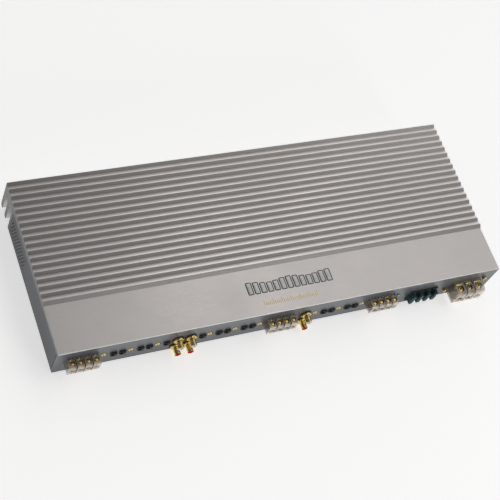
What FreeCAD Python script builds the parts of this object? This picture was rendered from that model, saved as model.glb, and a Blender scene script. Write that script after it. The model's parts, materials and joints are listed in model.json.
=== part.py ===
import FreeCAD, Part
import os
import re

# Car amplifier. X runs along the case (left to right), -Y is the front wall with the terminals,
# +Z is up. The origin is the middle of the flat base, on the surface that the case rests on.

doc = FreeCAD.newDocument("CarAmplifier")
sheet = doc.addObject("Spreadsheet::Sheet", "Sizes")

DRIVING_SIZES = [
    ("body_length", 640, "length of the case"),
    ("body_depth", 241, "depth of the case, terminals not counted"),
    ("chassis_depth", 207.5, "front face to the back of the rear wall"),
    ("plate_height", 50.4, "top of the flat plate above the base"),
    ("plate_depth", 66.2, "front face to the foot of the first fin"),
    ("plate_thickness", 6, "thickness of the top of the case"),
    ("fin_pitch", 10, "fin to fin"),
    ("fin_rise", 4, "fin crest above the flat plate"),
    ("fin_drop", 3, "fin crest to fin valley"),
    ("fin_run", 4, "depth of the steep side of a fin"),
    ("edge_bevel", 0.9, "bevel along the outer edges of the top"),
    ("tail_fin_thickness", 7, "hanging fin behind the rear wall"),
    ("tail_fin_pitch", 16, "hanging fin to hanging fin"),
    ("tail_fin_gap", 2.5, "hanging fin's tip above the base"),
    ("tail_ceiling", 38, "underside of the overhang"),
    ("wall", 3, "front wall and end plates"),
    ("rear_wall", 4, "rear wall"),
    ("base_thickness", 2, "bottom plate"),
    ("rib_depth", 7, "screw rib along each wall"),
    ("rib_top", 10, "top of the screw ribs"),
    ("end_relief", 17, "screw ribs cut back at each end"),
    ("screw_radius", 1.5, "case screws"),
    ("screw_head_radius", 2.8, "case screw heads"),
    ("vent_radius", 1.25, "round vent holes in the end plates"),
    ("vent_pitch", 4.6, "vent hole to vent hole along a row"),
    ("vent_row", 5.2, "vent row to vent row"),
    ("vent_start", 140, "front face to the first vent hole"),
    ("vent_floor", 10.5, "height of the lowest vent row"),
    ("board_floor", 14, "underside of the main board"),
    ("board_thickness", 1.6, "circuit boards"),
    ("board_gap", 2, "main board to whatever passes through it"),
    ("speaker_width", 41.2, "speaker terminal"),
    ("speaker_reach", 13.2, "speaker terminal in front of the wall"),
    ("speaker_low", 16.2, "underside of a speaker terminal"),
    ("speaker_high", 33.6, "top of a speaker terminal"),
    ("speaker_pitch", 10.2, "pole to pole"),
    ("speaker_bore", 2.9, "wire bore of a speaker clamp"),
    ("speaker_bore_height", 22.5, "height of the wire bore"),
    ("power_center", 595.7, "left end to the middle of the power terminal"),
    ("power_width", 45.2, "power terminal"),
    ("power_reach", 19.2, "power terminal in front of the wall"),
    ("power_low", 6, "underside of the power terminal"),
    ("power_high", 31, "top of the power terminal"),
    ("power_pitch", 14.9, "middle pole to outer pole"),
    ("power_seam", 6.5, "middle pole to the slot beside it"),
    ("power_plate_left", 39, "middle pole to the left end of the block's rear plate"),
    ("power_plate_right", 32, "middle pole to the right end of the rear plate"),
    ("power_bore_height", 14.6, "height of the power wire bores"),
    ("neck", 1.2, "step from a terminal's face down to the neck in its cut-out"),
    ("fixing_radius", 3.1, "head of the two terminal fixing screws"),
    ("fixing_head", 3.2, "straight part of that head"),
    ("fixing_dome", 1, "domed part of that head"),
    ("phono_low", 8.7, "centre height of the lower phono sockets"),
    ("phono_pitch", 17.5, "phono socket to phono socket"),
    ("phono_shell_radius", 4.15, "outside of a phono shell"),
    ("phono_collar_radius", 6.9, "collar of a phono shell"),
    ("phono_washer_radius", 8.1, "washer under the collar"),
    ("phono_neck_radius", 4.9, "neck of a phono shell in its hole"),
    ("phono_reach", 13, "phono shell in front of the wall"),
    ("knob_height", 24, "centre height of the level knobs"),
    ("knob_pitch", 35.5, "knob to knob in a bank"),
    ("knob_radius", 3.6, "level knob"),
    ("knob_hole_radius", 4.3, "knob hole in the wall"),
    ("knob_proud", 0.3, "level knob in front of the wall"),
    ("knob_shaft_radius", 2, "shaft of a level knob"),
    ("knob_shaft_clearance", 0.06, "shaft to its bearing"),
    ("switch_height", 22.6, "centre height of the slide switches"),
    ("switch_width", 8.4, "switch frame"),
    ("switch_tall", 8.8, "switch frame"),
    ("switch_proud", 2, "switch frame in front of the wall"),
    ("slider_width", 4, "switch slider"),
    ("slider_tall", 6.3, "switch slider"),
    ("slider_proud", 2.9, "switch slider in front of the wall"),
    ("slider_right", 3.6, "middle of a switch to the right side of its slider"),
    ("fuse_first", 508, "left end to the first fuse"),
    ("fuse_pitch", 11.6, "fuse to fuse"),
    ("fuse_height", 18.6, "centre height of the fuses"),
    ("fuse_width", 19.1, "blade fuse body"),
    ("fuse_thickness", 5.1, "blade fuse body"),
    ("fuse_reach", 9.2, "fuse body in front of the wall"),
    ("fuse_inside", 4.1, "fuse body behind the wall's face"),
    ("fuse_clearance", 0.3, "fuse to its socket"),
    ("collar_half", 4.3, "half width of a fuse collar"),
    ("collar_half_tall", 11.7, "half height of a fuse collar"),
    ("collar_proud", 2, "fuse collar in front of the wall"),
    ("nut_bore_radius", 2.1, "M5 tapping size"),
    ("end_joint", 0.8, "front wall to an end plate"),
    ("foot_from_end", 10, "end of the case to a foot's screw"),
    ("foot_half", 12, "half width of an end plate's foot"),
    ("foot_reach", 16, "end of the case to the tip of a foot"),
    ("cross_slot", 0.6, "width of a cross recess"),
]
for row, (alias, value, note) in enumerate(DRIVING_SIZES, start=1):
    sheet.set(f"A{row}", note)
    sheet.set(f"B{row}", str(value))
    sheet.setAlias(f"B{row}", alias)
doc.recompute()

LEFT = "(0 - body_length / 2)"
RIGHT = "(body_length / 2)"
FRONT = "(0 - body_depth / 2)"
BACK = "(body_depth / 2)"
CEILING = "(plate_height - plate_thickness)"
BOARD_TOP = "(board_floor + board_thickness)"
REAR_INSIDE = f"({FRONT} + chassis_depth - rear_wall)"
PHONO_HIGH = "(phono_low + phono_pitch)"

# Distances from the left end of the case, in millimetres.
SPEAKER_CENTERS = [33.8, 303.9, 457.8]
PHONO_COLUMNS = [161, 178.5, 342.5]
KNOB_BANKS = [62.5, 205, 357.5]
SWITCH_STEPS = [13.4, 25]
FIRST_BANK_LAST_SWITCH = 146.4
SECOND_BANK_FIRST_SWITCH = 195.4
LAMP_AT = 484
LAMP_HEIGHT = 29
LAMP_RADIUS = 1.5
FIXING_SCREWS = [(564.5, 16.5), (623.8, 31)]
FRONT_SCREWS = [30, 120, 240, 312, 420, 490]
REAR_SCREWS = [40, 180, 320, 460, 600]
PHONO_RELIEFS = [(150, 189.5), (331, 354)]
FUSE_RELIEF = (497, 554)
POWER_RELIEF = (555, 633)
FOOT_DISTANCES = [50, 150]

nodes = {}


def size(alias):
    """A driving size from the sheet, as a number."""
    return float(sheet.get(alias))


def rule(text):
    """An expression in which each word is a cell of the sheet."""
    return re.sub(r"[a-z][a-z_]*", lambda word: "Sizes." + word.group(0), str(text))


def value(text):
    """The number that a rule comes to."""
    sheet.set("D1", "=" + str(text))
    sheet.recompute()
    return float(sheet.get("D1"))


def bind(item, rules):
    """Tie properties of an object to rules, and hand the object back."""
    for name, text in rules.items():
        item.setExpression(name, rule(text))
    return item


def place(item, spot):
    """Tie an object's position to three rules."""
    return bind(item, {f"Placement.Base.{axis}": text for axis, text in zip("xyz", spot)})


def block(x, y, z):
    """A box between two rules on each axis."""
    box = doc.addObject("Part::Box", "block")
    bind(box, {"Length": f"({x[1]}) - ({x[0]})", "Width": f"({y[1]}) - ({y[0]})",
               "Height": f"({z[1]}) - ({z[0]})"})
    return place(box, (x[0], y[0], z[0]))


def rod(radius, spot, length, axis="z"):
    """A cylinder from a spot along an axis; 'y' runs towards +Y."""
    turns = {"x": (FreeCAD.Vector(0, 1, 0), 90), "y": (FreeCAD.Vector(1, 0, 0), -90),
             "z": (FreeCAD.Vector(0, 0, 1), 0)}
    cylinder = doc.addObject("Part::Cylinder", "rod")
    cylinder.Placement.Rotation = FreeCAD.Rotation(*turns[axis])
    bind(cylinder, {"Radius": radius, "Height": length})
    return place(cylinder, spot)


def taper(first_radius, last_radius, spot, length, axis="z"):
    """A cone from a spot along +Z or +Y."""
    cone = doc.addObject("Part::Cone", "taper")
    if axis == "y":
        cone.Placement.Rotation = FreeCAD.Rotation(FreeCAD.Vector(1, 0, 0), -90)
    bind(cone, {"Radius1": first_radius, "Radius2": last_radius, "Height": length})
    return place(cone, spot)


def join(items):
    """One solid made of several that touch."""
    if len(items) == 1:
        return items[0]
    fused = doc.addObject("Part::MultiFuse", "join")
    fused.Shapes = items
    return fused


def cut(body, tools):
    """A body less its tools."""
    result = doc.addObject("Part::Cut", "cut")
    result.Base = body
    result.Tool = join(tools)
    return result


def group(items):
    """Separate solids kept together."""
    bundle = doc.addObject("Part::Compound", "group")
    bundle.Links = items
    return bundle


def copies(master, spots):
    """Linked copies of a master that is modelled about its own zero."""
    links = []
    source = group([master])
    for spot in spots:
        link = doc.addObject("App::Link", "copy")
        link.LinkedObject = source
        links.append(place(link, spot))
    return links


def ring(outer, inner, spot, length, axis="y"):
    """A tube about an axis."""
    return cut(rod(outer, spot, length, axis), [rod(inner, spot, length, axis)])


def publish(name, item):
    """Name a sub-part; its name is its file's name."""
    item.Label = name
    nodes[name] = item
    return item


def from_left(distance):
    """A rule for a place so far from the left end of the case."""
    return f"{LEFT} + {distance}"


def on_front(distances, height=0):
    """Places along the front face."""
    return [(from_left(distance), FRONT, height) for distance in distances]


# ---------------------------------------------------------------- where the front's pieces go

knob_places = [f"{bank} + {index} * knob_pitch" for bank in KNOB_BANKS for index in range(3)]
switch_places = [f"{bank} + {index} * knob_pitch + {step}"
                 for bank in KNOB_BANKS for index in range(2) for step in SWITCH_STEPS]
switch_places += [FIRST_BANK_LAST_SWITCH, SECOND_BANK_FIRST_SWITCH]
switch_places.sort(key=value)
fuse_places = [f"fuse_first + {index} * fuse_pitch" for index in range(4)]
fixing_places = [(from_left(x), FRONT, z) for x, z in FIXING_SCREWS]


# ---------------------------------------------------------------- heatsink extrusion

def heatsink_outline():
    """Section of the extrusion, from its lower front corner round the top to the tail fins."""
    front, back = -size("body_depth") / 2, size("body_depth") / 2
    base, bevel = size("base_thickness"), size("edge_bevel")
    plate, crest = size("plate_height"), size("plate_height") + size("fin_rise")
    pitch, run = size("fin_pitch"), size("fin_run")
    tip, ceiling = size("tail_fin_gap"), size("tail_ceiling")
    inside, wall, rib = plate - size("plate_thickness"), size("wall"), size("rib_depth")
    rear = front + size("chassis_depth")
    thickness = size("tail_fin_thickness")
    points = [(front, base), (front, plate - bevel)]
    points += [(front + bevel, plate), (front + size("plate_depth"), plate)]
    first = back - pitch * round((back - front - size("plate_depth") - run) / pitch)
    count = round((back - first) / pitch)
    points.append((first, crest))
    for index in range(1, count + 1):
        crest_at = first + index * pitch
        points.append((crest_at - run, crest - size("fin_drop")))
        points.append((crest_at, crest))
    for index in range(2):
        rear_face = back - index * size("tail_fin_pitch")
        shoulder = thickness / 2
        points += [(rear_face, tip + shoulder), "tip", (rear_face - thickness, tip + shoulder)]
        points += [(rear_face - thickness, ceiling)]
        points += [(rear_face - size("tail_fin_pitch"), ceiling)] if index == 0 else []
    points += [(rear, ceiling), (rear, base)]
    points += [(rear - size("rear_wall") - rib, base), (rear - size("rear_wall") - rib, size("rib_top"))]
    points += [(rear - size("rear_wall"), size("rib_top")), (rear - size("rear_wall"), inside)]
    points += [(front + wall, inside), (front + wall, size("rib_top"))]
    points += [(front + wall + rib, size("rib_top")), (front + wall + rib, base)]
    return points


def draw_outline(sketch, points):
    """Lines between the points; 'tip' between two points is a half round below them."""
    corners = points + [points[0]]
    for index, here in enumerate(corners[:-1]):
        there = corners[index + 1]
        if here == "tip":
            continue
        start = FreeCAD.Vector(here[0], here[1], 0)
        if there == "tip":
            last = corners[index + 2]
            low = FreeCAD.Vector((here[0] + last[0]) / 2, here[1] - abs(here[0] - last[0]) / 2, 0)
            sketch.addGeometry(Part.Arc(start, low, FreeCAD.Vector(last[0], last[1], 0)))
        else:
            sketch.addGeometry(Part.LineSegment(start, FreeCAD.Vector(there[0], there[1], 0)))


def extrusion(points):
    """A body padded along X, to both sides, over the length of the case."""
    body = doc.addObject("PartDesign::Body", "extrusion")
    plane = [item for item in body.Origin.OriginFeatures if item.Role == "YZ_Plane"][0]
    sketch = body.newObject("Sketcher::SketchObject", "section")
    sketch.AttachmentSupport = [(plane, "")]
    sketch.MapMode = "FlatFace"
    draw_outline(sketch, points)
    pad = body.newObject("PartDesign::Pad", "length")
    pad.Profile = sketch
    pad.SideType = "Symmetric"
    bind(pad, {"Length": "body_length"})
    body.Tip = pad
    return body


def end_bevel(side, y, height):
    """A square bar on edge that bevels one end of the top."""
    bar = doc.addObject("Part::Box", "bevel")
    reach = "edge_bevel * 1.4142"
    bind(bar, {"Length": reach, "Height": reach, "Width": f"({y[1]}) - ({y[0]})"})
    bar.Placement.Rotation = FreeCAD.Rotation(FreeCAD.Vector(0, 1, 0), 45)
    return place(bar, (f"{side} * body_length / 2 - edge_bevel", y[0], height))


def front_cutters():
    """Everything that is milled out of the front wall."""
    depth = (f"{FRONT} - 1", f"{FRONT} + wall + 1")
    tools = []
    for center in SPEAKER_CENTERS:
        half = "(speaker_width / 2 - neck)"
        tools.append(block((from_left(f"{center} - {half}"), from_left(f"{center} + {half}")), depth,
                           ("speaker_low + neck", "speaker_high - neck")))
    half = "(power_width / 2 - neck)"
    tools.append(block((from_left(f"power_center - {half}"), from_left(f"power_center + {half}")), depth,
                       ("power_low + neck", "power_high - neck")))
    for column in PHONO_COLUMNS:
        for height in ("phono_low", PHONO_HIGH):
            tools.append(rod("phono_neck_radius", (from_left(column), depth[0], height), "wall + 2", "y"))
    for knob in knob_places:
        tools.append(rod("knob_hole_radius", (from_left(knob), depth[0], "knob_height"), "wall + 2", "y"))
    for switch in switch_places:
        sides = (from_left(f"{switch} - switch_width / 2"), from_left(f"{switch} + switch_width / 2"))
        levels = ("switch_height - switch_tall / 2", "switch_height + switch_tall / 2")
        tools.append(block(sides, depth, levels))
    for fuse in fuse_places:
        tools.append(block((from_left(f"{fuse} - collar_half"), from_left(f"{fuse} + collar_half")), depth,
                           ("fuse_height - collar_half_tall", "fuse_height + collar_half_tall")))
    tools.append(rod(LAMP_RADIUS, (from_left(LAMP_AT), depth[0], LAMP_HEIGHT), "wall + 2", "y"))
    for x, y, z in fixing_places:
        tools.append(rod("screw_radius", (x, depth[0], z), "wall + 2", "y"))
    return tools


def rib_cutters():
    """Reliefs in the screw ribs: both ends, the phono blocks, the fuse holder and the power block."""
    ribs = (f"{FRONT} + wall", f"{FRONT} + wall + rib_depth + 1")
    tools = []
    for low, high in PHONO_RELIEFS + [FUSE_RELIEF, POWER_RELIEF]:
        tools.append(block((from_left(low), from_left(high)), ribs, (0, "rib_top + 1")))
    whole = (f"{FRONT} + wall", REAR_INSIDE)
    tools.append(block((f"{LEFT} - 1", f"{LEFT} + end_relief"), whole, (0, "rib_top + 1")))
    tools.append(block((f"{RIGHT} - end_relief", f"{RIGHT} + 1"), whole, (0, "rib_top + 1")))
    for x, y, z in rib_screw_spots():
        tools.append(rod("screw_radius", (x, y, z), "rib_top - 1.4"))
    return tools


def rib_screw_spots():
    """Places of the screws that go up into the two ribs."""
    spots = [(from_left(at), f"{FRONT} + wall + rib_depth / 2", 0) for at in FRONT_SCREWS]
    spots += [(from_left(at), f"{REAR_INSIDE} - rib_depth / 2", 0) for at in REAR_SCREWS]
    return spots


def foot_screw_spots():
    """Places of the screws that go up into the feet of the end plates."""
    return [(f"{side} * (body_length / 2 - foot_from_end)", f"{FRONT} + {y}", 0)
            for side in (-1, 1) for y in FOOT_DISTANCES]


def build_heatsink():
    bevels = []
    change = f"{FRONT} + plate_depth - 1"
    for side in (-1, 1):
        bevels.append(end_bevel(side, (f"{FRONT} - 1", change), "plate_height"))
        bevels.append(end_bevel(side, (change, f"{BACK} + 1"), "(plate_height + fin_rise)"))
    publish("heatsink", cut(extrusion(heatsink_outline()), front_cutters() + rib_cutters() + bevels))


# ---------------------------------------------------------------- bottom plate and end plates

SPACER_SPOTS = [(x, y) for x in (-290, -150, 0, 135, 290) for y in (46, 188)]
NUT_SPOTS = [(x, y) for x in (-240, 240) for y in (-70, 50)]


def build_bottom_plate():
    plate = block((f"{LEFT} + 0.3", f"{RIGHT} - 0.3"), (f"{FRONT} + 0.3", f"{FRONT} + chassis_depth"),
                  (0, "base_thickness"))
    tools = []
    for spot in rib_screw_spots() + foot_screw_spots():
        tools.append(taper("screw_head_radius", "screw_radius", spot, 1.4))
        tools.append(rod("screw_radius", spot, "base_thickness"))
    for x, y in NUT_SPOTS:
        tools.append(rod(3.6, (x, y, 0), "base_thickness"))
    publish("bottom_plate", cut(plate, tools))


def end_plate(side):
    """One end plate: a perforated wall with a foot turned inwards."""
    def across(low, high):
        near, far = f"{side} * (body_length / 2 - {low})", f"{side} * (body_length / 2 - {high})"
        return (near, far) if side < 0 else (far, near)
    wall = block(across(0, "wall"), (f"{FRONT} + wall + end_joint", REAR_INSIDE), ("base_thickness", CEILING))
    feet = []
    for y in FOOT_DISTANCES:
        along = (f"{FRONT} + {y} - foot_half", f"{FRONT} + {y} + foot_half")
        feet.append(block(across("wall", "foot_reach"), along, ("base_thickness", "base_thickness + wall")))
    tools = [rod("screw_radius", (x, y, 0), 7) for x, y, z in foot_screw_spots()
             if x.startswith(str(side) + " ")]
    for row in range(5):
        shift = 0.5 if row % 2 else 0
        for column in range(13):
            along = f"{FRONT} + vent_start + ({column} + {shift}) * vent_pitch"
            spot = (f"{side} * body_length / 2 - wall - 1", along, f"vent_floor + {row} * vent_row")
            tools.append(rod("vent_radius", spot, "2 * wall + 2", "x"))
    return cut(join([wall] + feet), tools)


def case_screw():
    """Countersunk screw, head down, with a cross recess."""
    head = taper("screw_head_radius", "screw_radius", (0, 0, 0), 1.4)
    body = join([head, rod("screw_radius", (0, 0, 1.2), 3.6)])
    half = ("0 - cross_slot / 2", "cross_slot / 2")
    return cut(body, [block((-1.5, 1.5), half, (0, 0.8)), block(half, (-1.5, 1.5), (0, 0.8))])


# ---------------------------------------------------------------- speaker terminals

def speaker_poles():
    """Middle of each pole, from the middle of a speaker terminal."""
    return [f"({index} - 1.5) * speaker_pitch" for index in range(4)]


def speaker_housing():
    """Clear housing: a flanged block with a cavity, a wire entry and a screw shaft at each pole."""
    half = "speaker_width / 2"
    front = block((f"0 - {half}", half), ("0 - speaker_reach", 0), ("speaker_low", "speaker_high"))
    sides, levels = (f"neck - {half}", f"{half} - neck"), ("speaker_low + neck", "speaker_high - neck")
    back = block(sides, (0, "wall + 5"), levels)
    tools = []
    for pole in speaker_poles():
        tools.append(block((f"{pole} - 4", f"{pole} + 4"), (-10.8, -2.4), (17.8, 29.8)))
        tools.append(rod("speaker_bore + 0.5", (pole, "0 - speaker_reach", "speaker_bore_height"), 3, "y"))
        tools.append(rod(3, (pole, -6.6, 29), 6))
    for index in range(3):
        seam = f"({index} - 1) * speaker_pitch"
        tools.append(block((f"{seam} - 0.45", f"{seam} + 0.45"), ("0 - speaker_reach", -1.2),
                           ("speaker_high - 1.5", "speaker_high")))
    return cut(join([front, back]), tools)


def speaker_clamp():
    """Clamp cage with a wire bore through it and a threaded hole from above."""
    cage = block((-3.9, 3.9), (-10.7, -2.5), (17.9, 29.7))
    return cut(cage, [rod("speaker_bore", (0, -11, "speaker_bore_height"), 9, "y"),
                      rod(1.8, (0, -6.6, "speaker_bore_height"), 8)])


def speaker_screw():
    """Slotted clamp screw; its tip stops above the wire bore."""
    body = join([rod(1.8, (0, -6.6, 26), 4), rod(2.75, (0, -6.6, 29.75), 3)])
    return cut(body, [block((-3, 3), (-7.05, -6.15), (31.6, 33))])


def speaker_pole_spots():
    return on_front([f"{center} + {pole}" for center in SPEAKER_CENTERS for pole in speaker_poles()])


def build_speaker_terminals():
    housings = copies(speaker_housing(), on_front(SPEAKER_CENTERS))
    for number, housing in enumerate(housings, start=1):
        publish(f"speaker_terminal_{number}", group([housing]))
    publish("speaker_clamps", group(copies(speaker_clamp(), speaker_pole_spots())))
    publish("speaker_clamp_screws", group(copies(speaker_screw(), speaker_pole_spots())))


# ---------------------------------------------------------------- power terminal

# For each pole: middle, half width of its cage, bore radius, screw head radius.
POWER_POLES = [("0 - power_pitch", 6.4, 4.6, 3.8), ("0", 4.4, 3, 3), ("power_pitch", 6.4, 4.6, 3.8)]
CAGE_TOP = 25


def power_housing():
    """Clear block with two wide poles and a narrow one, and a back plate behind the wall."""
    half = "power_width / 2"
    front = block((f"0 - {half}", half), ("0 - power_reach", 0), ("power_low", "power_high"))
    sides, levels = (f"neck - {half}", f"{half} - neck"), ("power_low + neck", "power_high - neck")
    back = block(sides, (0, "wall"), levels)
    plate = block(("0 - power_plate_left", "power_plate_right"), ("wall", "wall + 4"),
                  ("power_low + neck", 35))
    tools = [rod("screw_radius", (f"{x} - power_center", 0, z), "wall + 5", "y") for x, z in FIXING_SCREWS]
    for pole, cage, bore, head in POWER_POLES:
        room = (f"{pole} - {cage + 0.1}", f"{pole} + {cage + 0.1}")
        tools.append(block(room, (-15.8, -2.2), (8, CAGE_TOP + 0.1)))
        tools.append(block((f"{pole} - {cage}", f"{pole} + {cage}"), (-4.9, -2.2), (CAGE_TOP, 32)))
        entry = (pole, "0 - power_reach", "power_bore_height")
        tools.append(rod(bore + 0.5, entry, "power_reach - 15.5", "y"))
        tools.append(rod(head + 0.3, (pole, -10, CAGE_TOP), 8))
    for side in (-1, 1):
        seam = f"{side} * power_seam"
        tools.append(block((f"{seam} - 0.6", f"{seam} + 0.6"), ("0 - power_reach", -1),
                           ("power_high - 2.4", "power_high")))
    return cut(join([front, back, plate]), tools)


def power_clamp(cage, bore, head):
    """Clamp barrel with a wire bore, a screw hole and a strap that stands up at its back."""
    body = join([block((-cage, cage), (-15.7, -2.3), (8.1, CAGE_TOP)),
                 block((0.1 - cage, cage - 0.1), (-4.8, -2.3), (CAGE_TOP - 1, 31.4))])
    return cut(body, [rod(bore, (0, -16, "power_bore_height"), 14, "y"),
                      rod(head - 1, (0, -10, "power_bore_height"), 11)])


def power_screw(cage, bore, head):
    """Clamp screw with a hexagon socket; its tip stops above the wire bore."""
    top, seat = 29.4, CAGE_TOP + 0.2
    tip = f"power_bore_height + {bore} + 0.4"
    shank = rod(head - 1, (0, -10, tip), f"{seat} + 0.4 - ({tip})")
    body = join([shank, rod(head, (0, -10, seat), top - seat)])
    socket = doc.addObject("Part::Prism", "socket")
    socket.Polygon = 6
    bind(socket, {"Circumradius": head * 0.55, "Height": 2.4})
    place(socket, (0, -10, top - 2))
    return cut(body, [socket])


def build_power_terminal():
    publish("power_terminal", group(copies(power_housing(), on_front(["power_center"]))))
    clamps, screws = [], []
    for pole, cage, bore, head in POWER_POLES:
        spot = on_front([f"power_center + {pole}"])
        clamps += copies(power_clamp(cage, bore, head), spot)
        screws += copies(power_screw(cage, bore, head), spot)
    publish("power_clamps", group(clamps))
    publish("power_clamp_screws", group(screws))
    face = "0 - fixing_head - fixing_dome"
    head = join([rod("fixing_radius", (0, "0 - fixing_head", 0), "fixing_head", "y"),
                 taper("fixing_radius - 0.9", "fixing_radius", (0, face, 0), "fixing_dome", "y"),
                 rod("screw_radius", (0, 0, 0), "wall + 4", "y")])
    socket = doc.addObject("Part::Prism", "socket")
    socket.Polygon = 6
    socket.Placement.Rotation = FreeCAD.Rotation(FreeCAD.Vector(1, 0, 0), -90)
    bind(socket, {"Circumradius": 1.5, "Height": 1.8})
    place(socket, (0, f"{face} - 0.2", 0))
    publish("terminal_fixing_screws", group(copies(cut(head, [socket]), fixing_places)))


# ---------------------------------------------------------------- phono sockets

def build_phono_sockets():
    upper = on_front(PHONO_COLUMNS, PHONO_HIGH)
    lower = on_front(PHONO_COLUMNS, "phono_low")
    washer = ring("phono_washer_radius", "phono_neck_radius", (0, -0.8, 0), 0.8)
    publish("rca_washers", group(copies(washer, upper + lower)))

    outside = join([rod("phono_collar_radius", (0, -3, 0), 2.2, "y"),
                    taper("phono_shell_radius", "phono_collar_radius", (0, -4.8, 0), 1.8, "y"),
                    rod("phono_shell_radius", (0, "0 - phono_reach", 0), "phono_reach - 3", "y"),
                    rod("phono_neck_radius", (0, -1, 0), "wall + 4", "y")])
    shell = cut(outside, [rod(3.4, (0, "0 - phono_reach", 0), "phono_reach + wall + 3", "y")])
    publish("rca_shells", group(copies(shell, upper + lower)))

    mouth = (0, "0 - phono_reach - 0.2", 0)
    sleeve = cut(rod(3.4, mouth, "phono_reach + wall + 3.2", "y"),
                 [rod(1.75, mouth, 4, "y"), rod(2.5, (0, -9.5, 0), "9.5 + wall + 3", "y")])
    publish("rca_white_insulators", group(copies(sleeve, upper)))
    publish("rca_red_insulators", group(copies(sleeve, lower)))

    contact = cut(rod(2.5, (0, -9.5, 0), "12.5 + wall", "y"), [rod(1.65, (0, -9.5, 0), 9.5, "y")])
    publish("rca_contacts", group(copies(contact, upper + lower)))

    body = block((-7.6, 7.6), ("wall", "wall + 12"), ("base_thickness + 0.2", 35))
    heights = ("phono_low", PHONO_HIGH)
    holes = [rod("phono_neck_radius", (0, 0, height), "wall + 9", "y") for height in heights]
    publish("rca_blocks", group(copies(cut(body, holes), on_front(PHONO_COLUMNS))))


# ---------------------------------------------------------------- level knobs and slide switches

def build_level_knobs():
    rim = 0.4
    disc = join([rod("knob_radius", (0, f"{rim} - knob_proud", 0), 2, "y"),
                 taper(f"knob_radius - {rim}", "knob_radius", (0, "0 - knob_proud", 0), rim, "y"),
                 rod("knob_shaft_radius", (0, 1, 0), 6.4, "y")])
    knob = cut(disc, [block((-0.5, 0.5), (-1, "1 - knob_proud"), (-4, 4))])
    spots = on_front(knob_places, "knob_height")
    for number, copy in enumerate(copies(knob, spots), start=1):
        publish(f"level_knob_{number}", group([copy]))
    pot = cut(block((-4.75, 4.75), ("wall + 0.1", "wall + 9"), (f"{BOARD_TOP} - knob_height", 5.6)),
              [rod("knob_shaft_radius + knob_shaft_clearance", (0, 0, 0), 8, "y")])
    publish("level_pots", group(copies(pot, spots)))


def switch_slider():
    """Ribbed slider with a stem behind it, at rest at the right of its window."""
    left, right = "slider_right - slider_width", "slider_right"
    face = block((left, right), ("0 - slider_proud", 2), ("0 - slider_tall / 2", "slider_tall / 2"))
    stem = block((1.2, 2.4), (1.9, 4.6), (-0.9, 0.9))
    grooves = [block((f"{left} + {x}", f"{left} + {x} + 0.5"), (-4, "0.6 - slider_proud"), (-4, 4))
               for x in (0.55, 1.75, 2.95)]
    return cut(join([face, stem]), grooves)


def switch_frame():
    """Black frame with a window and, behind it, the slot that the stem runs in."""
    half_wide, half_tall = "switch_width / 2", "switch_tall / 2"
    frame = block((f"0 - {half_wide}", half_wide), ("0 - switch_proud", "wall + 6"),
                  (f"0 - {half_tall}", half_tall))
    window = block((-3.7, 3.7), (-3, 2.3), (-3.3, 3.3))
    slot = block((-3.7, 3.7), (2, 5), (-1.2, 1.2))
    return cut(frame, [window, slot])


def build_switches():
    spots = on_front(switch_places, "switch_height")
    for number, copy in enumerate(copies(switch_slider(), spots), start=1):
        publish(f"switch_slider_{number:02d}", group([copy]))
    publish("switch_frames", group(copies(switch_frame(), spots)))


# ---------------------------------------------------------------- fuses and lamp

def fuse_body():
    """Blade fuse: a moulded body with a stepped head, and its two blades."""
    thick, half_wide = "fuse_thickness / 2", "fuse_width / 2"
    depth = ("0 - fuse_reach", "fuse_inside")
    body = block((f"0 - {thick}", thick), depth, (f"0 - {half_wide}", half_wide))
    corners = [block((-4, 4), ("fuse_inside - 3", "fuse_inside + 1"), (f"{half_wide} - 1.6", 12)),
               block((-4, 4), ("fuse_inside - 3", "fuse_inside + 1"), (-12, f"1.6 - {half_wide}")),
               block((-1.6, 1.6), ("0 - fuse_reach - 1", "0.8 - fuse_reach"), (-2.6, 2.6))]
    rear = ("fuse_inside - 1", "fuse_inside + 7")
    blades = [block((-0.35, 0.35), rear, (side * 5.2 - 2.2, side * 5.2 + 2.2)) for side in (-1, 1)]
    return join([cut(body, corners)] + blades)


def fuse_holder():
    """One black block behind the wall with four collars that come through it."""
    step = "3 * fuse_pitch"
    block_body = block((-7, f"{step} + 7"), ("wall", "wall + 16"), (4.4, 33))
    collars, tools = [], []
    for index in range(4):
        middle = f"{index} * fuse_pitch"
        collars.append(block((f"{middle} - collar_half", f"{middle} + collar_half"),
                             ("0 - collar_proud", "wall + 1"),
                             ("fuse_height - collar_half_tall", "fuse_height + collar_half_tall")))
        half = "(fuse_thickness / 2 + fuse_clearance)"
        tall = "(fuse_width / 2 + fuse_clearance)"
        tools.append(block((f"{middle} - {half}", f"{middle} + {half}"), (-3, "fuse_inside + 0.4"),
                           (f"fuse_height - {tall}", f"fuse_height + {tall}")))
        for side in (-1, 1):
            tools.append(block((f"{middle} - 0.7", f"{middle} + 0.7"), ("fuse_inside", "fuse_inside + 8"),
                               (f"fuse_height + {side * 5.2 - 2.5}", f"fuse_height + {side * 5.2 + 2.5}")))
    return cut(join([block_body] + collars), tools)


def build_fuses():
    for number, copy in enumerate(copies(fuse_body(), on_front(fuse_places, "fuse_height")), start=1):
        publish(f"fuse_{number}", group([copy]))
    publish("fuse_holder", group(copies(fuse_holder(), on_front(["fuse_first"]))))
    dome = doc.addObject("Part::Sphere", "dome")
    dome.Radius = LAMP_RADIUS
    place(dome, (0, -0.6, 0))
    lamp = join([rod(LAMP_RADIUS, (0, -0.6, 0), "wall + 5", "y"), dome])
    publish("status_led", group(copies(lamp, on_front([LAMP_AT], LAMP_HEIGHT))))


# ---------------------------------------------------------------- inside

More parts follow.
